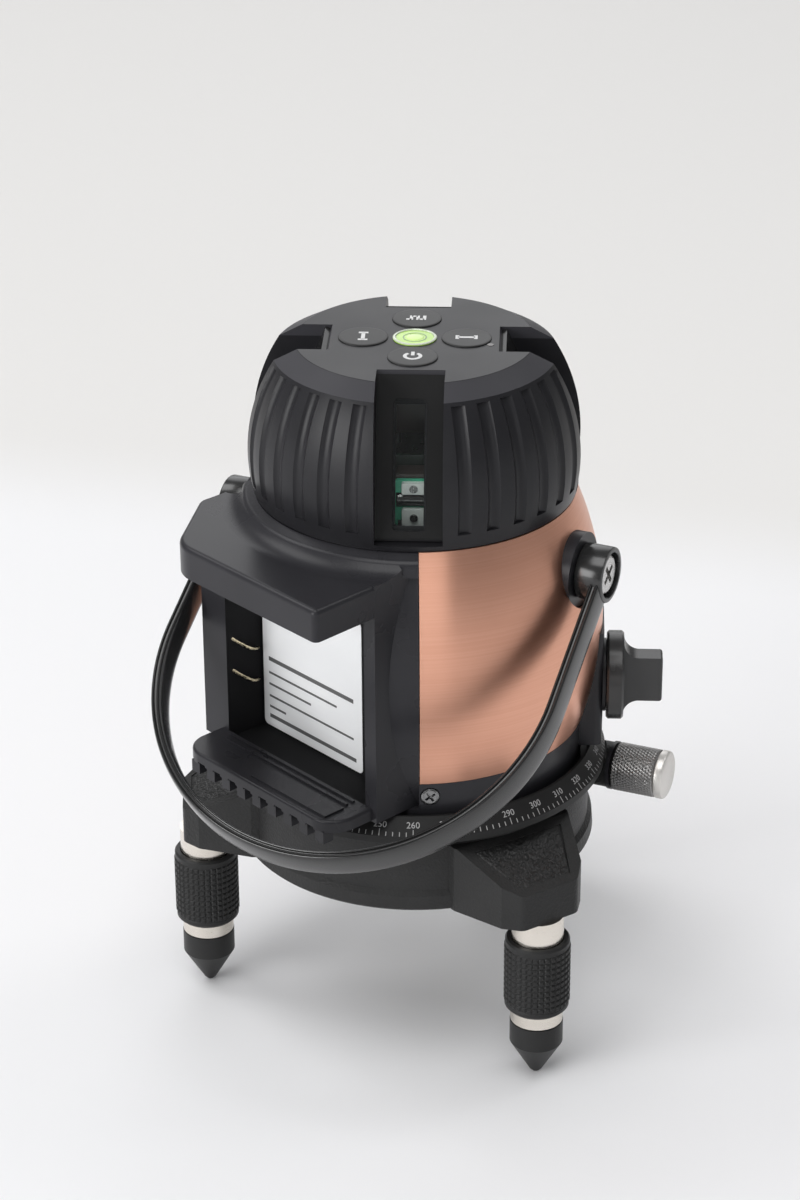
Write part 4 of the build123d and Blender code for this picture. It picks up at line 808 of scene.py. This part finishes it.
# Cells over which the lumps fade out at the edge of a pad
PAD_FADE = 2
# Lumps: coarse and fine noise, the share of the fine one, and the mean and swing of their height
PAD_COARSE = 1.5
PAD_FINE = 3.4
PAD_FINE_SHARE = 0.7
PAD_MEAN = 0.8
PAD_SWING = 0.6


def pad_height(i, u, v, inward):
    """Height of a pad's lumpy top, with inward from 0 at the pad's edge to 1 inside it."""
    spot = Vector((u, v, i))
    lump = noise.noise(spot * PAD_COARSE) + PAD_FINE_SHARE * noise.noise(spot * PAD_FINE)
    return -PAD_DEPTH + PAD_THIN + inward * PAD_RELIEF * (PAD_MEAN + PAD_SWING * lump)


def lug_pad(i, azimuth):
    crest = Vector(LUG_CREST)
    run = Vector(LUG_END) - crest
    slope = run.normalized()
    middle = out(azimuth, *(crest + run / 2))
    place = place_at(middle, out(azimuth, slope.x, slope.y), out(azimuth, -slope.y, slope.x))
    half = run.length / 2 - PAD_MARGIN
    rows = round(2 * half / PAD_CELL)
    columns = round(2 * PAD_BACK_HALF / PAD_CELL)
    pad = Shape()
    for top in (False, True):
        for j in range(rows + 1):
            u = -half + 2 * half * j / rows
            wide = PAD_BACK_HALF + (PAD_FRONT_HALF - PAD_BACK_HALF) * j / rows
            for k in range(columns + 1):
                v = wide * (2 * k / columns - 1)
                inward = min(j, rows - j, k, columns - k, PAD_FADE) / PAD_FADE
                z = pad_height(i, u, v, inward) if top else -PAD_DEPTH
                pad.points.append(place @ Vector((u, v, z)))
    row = columns + 1
    size = (rows + 1) * row
    for j in range(rows):
        for k in range(columns):
            a = j * row + k
            pad.faces.append([a, a + 1, a + row + 1, a + row])
            pad.faces.append([size + a + row, size + a + row + 1, size + a + 1, size + a])
    rim = list(range(row))
    rim += [j * row + columns for j in range(1, rows + 1)]
    rim += [rows * row + k for k in reversed(range(columns))]
    rim += [j * row for j in reversed(range(1, rows))]
    for a, b in zip(rim, rim[1:] + rim[:1]):
        pad.faces.append([b, a, size + a, size + b])
    pad.piece(f"lug_pad_{i}", PAD, "base", "cast_base")


for number, azimuth in enumerate(LUG_AZIMUTHS, 1):
    lug_pad(number, azimuth)


# Contact wires on the side wall of the battery bay

WIRE_R = 0.45
WIRE_BOW = 1.7
WIRE_ROOT = 0.3
WIRE_INSET = 0.55
WIRE_STEPS = 24
WIRE_Y = (-43.3, -33.6)
# A wire's rise at its start, half way and at its end
WIRE_RISE = (1.1, -2.9, -5.2)


def through(heights, t):
    """A curve through three heights, at the start, half way and at the end."""
    first, middle, last = heights
    return first * (1 - t) * (1 - 2 * t) + middle * 4 * t * (1 - t) + last * t * (2 * t - 1)


def contact_wires():
    low, high = box("contact_springs")
    start, end = WIRE_Y
    wires = Shape()
    for level in (low.z + WIRE_INSET, high.z - WIRE_INSET):
        path = []
        for k in range(WIRE_STEPS + 1):
            t = k / WIRE_STEPS
            bow = -WIRE_ROOT + (WIRE_BOW + WIRE_ROOT) * math.sin(math.pi * t)
            path.append(Vector((low.x + bow, start + (end - start) * t, level + through(WIRE_RISE, t))))
        wires.tube(path, WIRE_R)
    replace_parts(wires.piece("contact_wires", GILT, "turret", "nickel", smooth=True), "contact_springs")


contact_wires()


# Dial graduations, printed on the sloping face of the dial ring

DIAL_ZERO = 213.5
# Lower and upper edge of the slope: distance from the axis, and height
CONE_LOW = (54.2, 25.5)
CONE_HIGH = (50.4, 30.0)
PRINT = 0.03
TICK_EVERY = 2
TICK_WIDTH = 0.22
TICK_RISE = 0.25
LONG_TICK = 1.9
SHORT_TICK = 1.2
NUMBER_EVERY = 10
NUMBER_SIZE = 2.5
NUMBER_RISE = 2.6


def cone_place(azimuth, rise):
    """On the dial's slope: x round the dial, y up the slope, z out of it."""
    slope = (Vector(CONE_HIGH) - Vector(CONE_LOW)).normalized()
    up = out(azimuth, slope.x, slope.y)
    round_dir = out(azimuth + 90)
    normal = round_dir.cross(up)
    return place_at(out(azimuth, *CONE_LOW) + up * rise - normal * PRINT, round_dir, normal)


def dial_print():
    ticks = Shape()
    for degree in range(0, 360, TICK_EVERY):
        length = LONG_TICK if degree % NUMBER_EVERY == 0 else SHORT_TICK
        mark = rectangle(TICK_WIDTH, length, 0, length / 2)
        ticks.prism(mark, cone_place(degree - DIAL_ZERO, TICK_RISE), 2 * PRINT)
    ticks.piece("dial_ticks", DIAL_INK, "base", "dial_black")
    numbers = Shape()
    for degree in range(0, 360, NUMBER_EVERY):
        numbers.text(str(degree), NUMBER_SIZE, cone_place(degree - DIAL_ZERO, NUMBER_RISE), 2 * PRINT)
    numbers.piece("dial_numbers", DIAL_INK, "base", "dial_black")


dial_print()


# Key caps and their symbols, read from the front window's side

KEY_DROP = 0.5
KEY_FLAT = 0.88
KEY_BEND = 0.22
KEY_STEPS = 56
SYMBOL_LIFT = 0.02
# Outlines by key: a broken ring with a bar, a lying bar, a stepped line and an upright bar
KEY_SYMBOLS = {
    1: [arc_band(1.6, 2.6, 125, 415), rectangle(0.95, 2.6, 0, 1.7)],
    2: [rectangle(4.6, 1.05), rectangle(1.0, 2.6, -2.5), rectangle(1.0, 2.6, 2.5)],
    3: [rectangle(1.4, 0.9, -2.2, -1.1), rectangle(0.9, 3.1, -1.5), rectangle(1.6, 0.9, -0.6, 1.1),
        rectangle(0.9, 3.1, 0.3), rectangle(1.6, 0.9, 1.2, -1.1), rectangle(0.9, 3.1, 2.1)],
    4: [rectangle(1.05, 4.6), rectangle(2.6, 1.0, 0, -2.5), rectangle(2.6, 1.0, 0, 2.5)],
}


def key_top(i, outlines):
    """A low cap with a rounded shoulder, and the symbol printed on it."""
    low, high = box(f"key_{i}")
    centre = (low + high) / 2
    r = (high.x - low.x) / 2
    top = high.z - KEY_DROP
    flat = r * KEY_FLAT
    shoulder = [(flat + x, top - KEY_BEND + z) for x, z in quarter(r - flat, KEY_BEND)]
    profile = [(AXIS_R, low.z), (r, low.z)] + shoulder + [(AXIS_R, top)]
    cap = Shape()
    cap.lathe(profile, Matrix.Translation((centre.x, centre.y, 0)), KEY_STEPS)
    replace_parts(cap.piece(f"key_cap_{i}", RUBBER, f"key_{i}", "key_rubber", smooth=True), f"key_{i}")
    centre.z = top - SYMBOL_LIFT
    place = place_at(centre, out(WINDOWS[0] + 90), UP)
    symbol = Shape()
    for outline in outlines:
        symbol.flat([outline], place, 2 * SYMBOL_LIFT)
    symbol.piece(f"key_symbol_{i}", INK, f"key_{i}", "key_rubber")


for number, outlines in KEY_SYMBOLS.items():
    key_top(number, outlines)


# Bubble vial: pale rim, printed ring and a low bubble, the bubble being paler as a painted highlight

# Radius, and height over the top of the vial
RIM_PROFILE = ((5.1, -0.1), (5.98, -0.1), (5.98, 0.12), (5.7, 0.3), (5.3, 0.3), (5.1, 0.1))
RIM_STEPS = 64
RING_PROFILE = ((2.9, -0.05), (3.3, -0.05), (3.3, 0.05), (2.9, 0.05))
RING_STEPS = 56
BUBBLE_R = 2.4
BUBBLE_RISE = 0.25
BUBBLE_SUNK = 0.1
BUBBLE_STEPS = 40


def vial_parts():
    place = Matrix.Translation((0, 0, box("bubble_vial")[1].z))
    rim = Shape()
    rim.lathe(RIM_PROFILE, place, RIM_STEPS)
    rim.piece("vial_rim", VIAL_RIM, "turret", "vial_green", smooth=True)
    ring = Shape()
    ring.lathe(RING_PROFILE, place, RING_STEPS)
    ring.piece("vial_ring", VIAL_LINE, "turret", "vial_green")
    profile = [(AXIS_R, -BUBBLE_SUNK), (BUBBLE_R, -BUBBLE_SUNK)]
    profile += quarter(BUBBLE_R, BUBBLE_RISE)[:-1]
    profile += [(AXIS_R, BUBBLE_RISE)]
    bubble = Shape()
    bubble.lathe(profile, place, BUBBLE_STEPS)
    bubble.piece("vial_bubble", BUBBLE, "turret", "vial_green", smooth=True)


vial_parts()


# Label with plain rules on the back wall of the battery bay

BAY_BACK_Y = -32.5
LABEL_WIDTH = 42.0
LABEL_HEIGHT = 47.0
LABEL_CORNER = 1.5
LABEL_THICK = 0.14
LABEL_SUNK = 0.02
LABEL_X = -7.4
LABEL_Z = 56.3
RULE_THICK = 0.02
RULE_SUNK = 0.01
RULE_START = -18.6
# Height from the label's middle, width and weight
RULES = ((-2.0, 36.0, 1.3), (-6.4, 29.0, 0.7), (-10.0, 18.0, 0.7), (-13.8, 36.0, 0.7), (-17.2, 7.0, 0.7),
         (-20.2, 37.0, 1.2))


def bay_label():
    place = place_at((LABEL_X, BAY_BACK_Y + LABEL_SUNK, LABEL_Z), (1, 0, 0), (0, -1, 0))
    sheet = Shape()
    sheet.flat([rounded(LABEL_WIDTH, LABEL_HEIGHT, LABEL_CORNER)], place, LABEL_THICK)
    sheet.piece("bay_label", PAPER, "turret", "slide_plastic")
    lines = Shape()
    raised = lifted(place, LABEL_THICK - RULE_SUNK)
    for y, width, weight in RULES:
        lines.flat([rectangle(width, weight, RULE_START + width / 2, y)], raised, RULE_THICK)
    lines.piece("label_rules", RULE, "turret", "slide_plastic")


bay_label()


# Screw heads with a cross recess

HEAD_STEPS = 48
# The straight part of a head's side, and the floor under its recess, as shares of its height
HEAD_STRAIGHT = 0.45
RECESS_FLOOR = 0.3
# The rounded edge: its middle point inwards and down, and the start of the flat top inwards
HEAD_EDGE = (0.25, 0.2)
HEAD_FLAT = 0.7
# How far the head's bore and the recessed core reach past the cross, so that they overlap
BORE_MARGIN = 0.25
CORE_MARGIN = 0.3


def screw_head(shape, place, r, height, arm, slot_width):
    """A pan head with a cross recess, its seat at the place's origin."""
    bore = arm + BORE_MARGIN
    profile = [(bore, 0), (r, 0), (r, height * HEAD_STRAIGHT)]
    profile += [(r - HEAD_EDGE[0], height - HEAD_EDGE[1]), (r - HEAD_FLAT, height), (bore, height)]
    shape.lathe(profile, place, HEAD_STEPS)
    core = circle(arm + CORE_MARGIN, HEAD_STEPS)
    floor = height * RECESS_FLOOR
    shape.flat([core, cross(arm, slot_width)], lifted(place, floor), height - floor)
    shape.flat([core], place, floor)


# Cards, clamp blocks and screws on the fronts of the line modules

HOLDER_FACE_R = 29.0
CARD_WIDE = 8.8
CARD_THICK = 0.8
CARD_CORNER = 1.2
CARD_Z = (108.0, 121.4)
ROD_Z = (113.4, 117.6)
ROD_SLOT = 7.8
ROD_GAP = 0.1
BLOCK_WIDE = 6.4
BLOCK_THICK = 1.6
BLOCK_CORNER = 0.5
BLOCK_SIDE = 0.9
BLOCK_MARGIN = 0.5
MODULE_SCREW = {"r": 1.1, "height": 0.5, "arm": 0.68, "slot_width": 0.36}


def module_fronts():
    cards = Shape()
    blocks = Shape()
    screws = Shape()
    middle = sum(CARD_Z) / 2
    card = rounded(CARD_WIDE, CARD_Z[1] - CARD_Z[0], CARD_CORNER)
    slot = rectangle(ROD_SLOT, ROD_Z[1] - ROD_Z[0], 0, sum(ROD_Z) / 2 - middle)
    under_rod = (CARD_Z[0] + BLOCK_MARGIN, ROD_Z[0] - ROD_GAP)
    over_rod = (ROD_Z[1] + ROD_GAP, CARD_Z[1] - BLOCK_MARGIN)
    for azimuth in WINDOWS:
        across = out(azimuth + 90)
        holder_face = place_at(out(azimuth, HOLDER_FACE_R, middle), across, out(azimuth))
        cards.flat([card, slot], holder_face, CARD_THICK)
        for low, high in (under_rod, over_rod):
            seat = out(azimuth, HOLDER_FACE_R + CARD_THICK, (low + high) / 2) + across * BLOCK_SIDE
            place = place_at(seat, across, out(azimuth))
            blocks.flat([rounded(BLOCK_WIDE, high - low, BLOCK_CORNER)], place, BLOCK_THICK)
            screw_head(screws, lifted(place, BLOCK_THICK), **MODULE_SCREW)
    cards.piece("module_cards", BOARD, "pendulum", "board_green")
    blocks.piece("module_blocks", HOLDER, "pendulum", "aluminium")
    screws.piece("module_screws", ZINC, "pendulum", "steel")


module_fronts()


# Screws of the lower ring and of the bail's pivots

# Arm and width of the cross as shares of the head's radius, and how far it is turned
CROSS_ARM = 0.58
CROSS_WIDTH = 0.26
TURNED = math.radians(33)
SHANK_STEPS = 24


def round_screws(name, node, material, azimuths, seat_r, z, r, height, shank_r, shank):
    """Screws that point at the axis, with heads of radius r on seats seat_r away from it."""
    shape = Shape()
    for azimuth in azimuths:
        seat = place_at(out(azimuth, seat_r, z), UP, out(azimuth))
        place = seat @ Matrix.Rotation(TURNED, 4, "Z")
        screw_head(shape, place, r, height, CROSS_ARM * r, CROSS_WIDTH * r)
        shape.flat([circle(shank_r, SHANK_STEPS)], lifted(place, -shank), shank)
    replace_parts(shape.piece(name, material, "turret", "steel"), node)


round_screws("ring_screw_set", "ring_screws", ZINC, azimuths=(52, 180, 308), seat_r=46.4, z=34.6,
             r=2.7, height=1.6, shank_r=1.25, shank=5.4)
round_screws("pivot_screw_set", "pivot_screws", STEEL, azimuths=PIVOT_SCREWS, seat_r=56.0, z=PIVOT_Z,
             r=5.5, height=1.8, shank_r=1.98, shank=10.0)


# Floor, in metres

FLOOR_Z = -0.0521
FLOOR_SIDE = 120.0
FLOOR_NEAR = (0.885, 0.885, 0.895)
FLOOR_FAR = (0.80, 0.79, 0.775)
FLOOR_GRAIN = 300.0
FLOOR_ROUGH = (0.6, 0.7)
# The line behind the object beyond which the floor is greyer: direction, distance and half width
BACK_AZIMUTH = 213.6
BACK_AT = 0.313
BACK_SOFT = 0.05


def floor_look():
    """Pale studio floor that turns a shade greyer and warmer beyond a line behind the object."""
    look = Look("floor_pale")
    along = look.add("ShaderNodeVectorMath")
    along.operation = "DOT_PRODUCT"
    along.inputs[1].default_value = out(BACK_AZIMUTH)
    look.link(look.place, "Object", along, 0)
    beyond = look.add("ShaderNodeMapRange")
    beyond.interpolation_type = "SMOOTHSTEP"
    beyond.inputs["From Min"].default_value = BACK_AT - BACK_SOFT
    beyond.inputs["From Max"].default_value = BACK_AT + BACK_SOFT
    look.link(along, "Value", beyond, "Value")
    ramp = look.ramp(beyond, FLOOR_NEAR, FLOOR_FAR, start=0.0, end=1.0, socket="Result")
    look.link(ramp, "Color", look.shader, "Base Color")
    look.gloss(look.noise(FLOOR_GRAIN), *FLOOR_ROUGH)
    look.put(Specular_IOR_Level=0.2)
    return look.material


def stage_floor():
    mesh = bpy.data.meshes.new("floor")
    corners = [(x, y, FLOOR_Z) for x, y in rectangle(FLOOR_SIDE, FLOOR_SIDE)]
    mesh.from_pydata(corners, [], [(0, 1, 2, 3)])
    mesh.materials.append(floor_look())
    floor = bpy.data.objects.new("floor", mesh)
    bpy.context.scene.collection.objects.link(floor)


stage_floor()


# Light, in metres and watts

AIM = Vector((0, 0, 0.05))
# Name, azimuth and elevation in degrees, distance, size and power
LAMPS = (
    ("low", -7, 16, 5.0, (3.6, 2.3), 155),
    ("left", 292, 50, 4.0, (1.7, 1.7), 31),
    ("top", 25, 72, 4.0, (2.5, 2.5), 66),
    ("back", 164, 52, 4.0, (1.0, 1.0), 12),
    ("front", 57, 15, 2.5, (0.9, 0.8), 3.2),
)
ROOM_TINT = (0.98, 0.985, 1.0)
# Strength of the room at the horizon, low on its walls and at its ceiling, by the z of a direction
HORIZON_TONE = 0.29
LOW_TONE = 0.155
LOW_AT = 0.1
CEILING_TONE = 0.32
CEILING_AT = 0.8
# The white wall: azimuth and elevation, strength, and the cosines between which it fades in
WALL_TOWARDS = (228, 27)
WALL_TONE = 1.35
WALL_EDGE = 0.89
WALL_FULL = 0.98


def seen_at(azimuth, elevation, distance=1.0):
    """A point in this direction from the origin."""
    e = math.radians(elevation)
    return out(azimuth, distance * math.cos(e), distance * math.sin(e))


def studio_world():
    """A dim room that meets the floor at the horizon, paler towards the ceiling and a white wall behind."""
    world = bpy.data.worlds.new("studio")
    bpy.context.scene.world = world
    world.use_nodes = True
    tree = world.node_tree
    view = tree.nodes.new("ShaderNodeTexCoord")
    parts = tree.nodes.new("ShaderNodeSeparateXYZ")
    tree.links.new(view.outputs["Generated"], parts.inputs["Vector"])
    room = tree.nodes.new("ShaderNodeValToRGB")
    stops = room.color_ramp.elements
    stops[0].color = opaque(grey(HORIZON_TONE))
    stops[1].position = CEILING_AT
    stops[1].color = opaque(grey(CEILING_TONE))
    stops.new(LOW_AT).color = opaque(grey(LOW_TONE))
    tree.links.new(parts.outputs["Z"], room.inputs["Fac"])
    facing = tree.nodes.new("ShaderNodeVectorMath")
    facing.operation = "DOT_PRODUCT"
    facing.inputs[1].default_value = seen_at(*WALL_TOWARDS)
    tree.links.new(view.outputs["Generated"], facing.inputs[0])
    wall = tree.nodes.new("ShaderNodeMapRange")
    wall.interpolation_type = "SMOOTHSTEP"
    wall.inputs["From Min"].default_value = WALL_EDGE
    wall.inputs["From Max"].default_value = WALL_FULL
    wall.inputs["To Max"].default_value = WALL_TONE
    tree.links.new(facing.outputs["Value"], wall.inputs["Value"])
    total = tree.nodes.new("ShaderNodeMath")
    tree.links.new(room.outputs["Color"], total.inputs[0])
    tree.links.new(wall.outputs["Result"], total.inputs[1])
    background = tree.nodes["Background"]
    background.inputs["Color"].default_value = opaque(ROOM_TINT)
    tree.links.new(total.outputs["Value"], background.inputs["Strength"])


def area_lamp(name, place, size, power):
    data = bpy.data.lights.new(name, "AREA")
    data.shape = "RECTANGLE"
    data.size, data.size_y = size
    data.energy = power
    lamp = bpy.data.objects.new(name, data)
    bpy.context.scene.collection.objects.link(lamp)
    lamp.location = place
    lamp.rotation_mode = "QUATERNION"
    lamp.rotation_quaternion = (AIM - place).to_track_quat("-Z", "Y")


studio_world()
for name, azimuth, elevation, distance, size, power in LAMPS:
    area_lamp(name, seen_at(azimuth, elevation, distance), size, power)


# Camera, in metres, with its roll in degrees and its lens and sensor in millimetres

CAMERA_AT = Vector((0.596682, -0.546224, 0.470405))
CAMERA_TO = Vector((-0.006619, 0.0, 0.068599))
CAMERA_ROLL = -0.35
CAMERA_LENS = 96.25
CAMERA_SENSOR = 36.0
CLIP_NEAR = 0.05
CLIP_FAR = 50


def stage_camera():
    data = bpy.data.cameras.new("camera")
    data.sensor_width = CAMERA_SENSOR
    data.lens = CAMERA_LENS
    data.clip_start = CLIP_NEAR
    data.clip_end = CLIP_FAR
    camera = bpy.data.objects.new("camera", data)
    bpy.context.scene.collection.objects.link(camera)
    ahead = (CAMERA_TO - CAMERA_AT).normalized()
    right = ahead.cross(UP).normalized()
    level = Matrix((right, right.cross(ahead), -ahead)).transposed()
    roll = Matrix.Rotation(math.radians(CAMERA_ROLL), 3, "Z")
    camera.location = CAMERA_AT
    camera.rotation_mode = "QUATERNION"
    camera.rotation_quaternion = (level @ roll).to_quaternion()
    bpy.context.scene.camera = camera


stage_camera()
bpy.context.scene.view_settings.view_transform = "Standard"
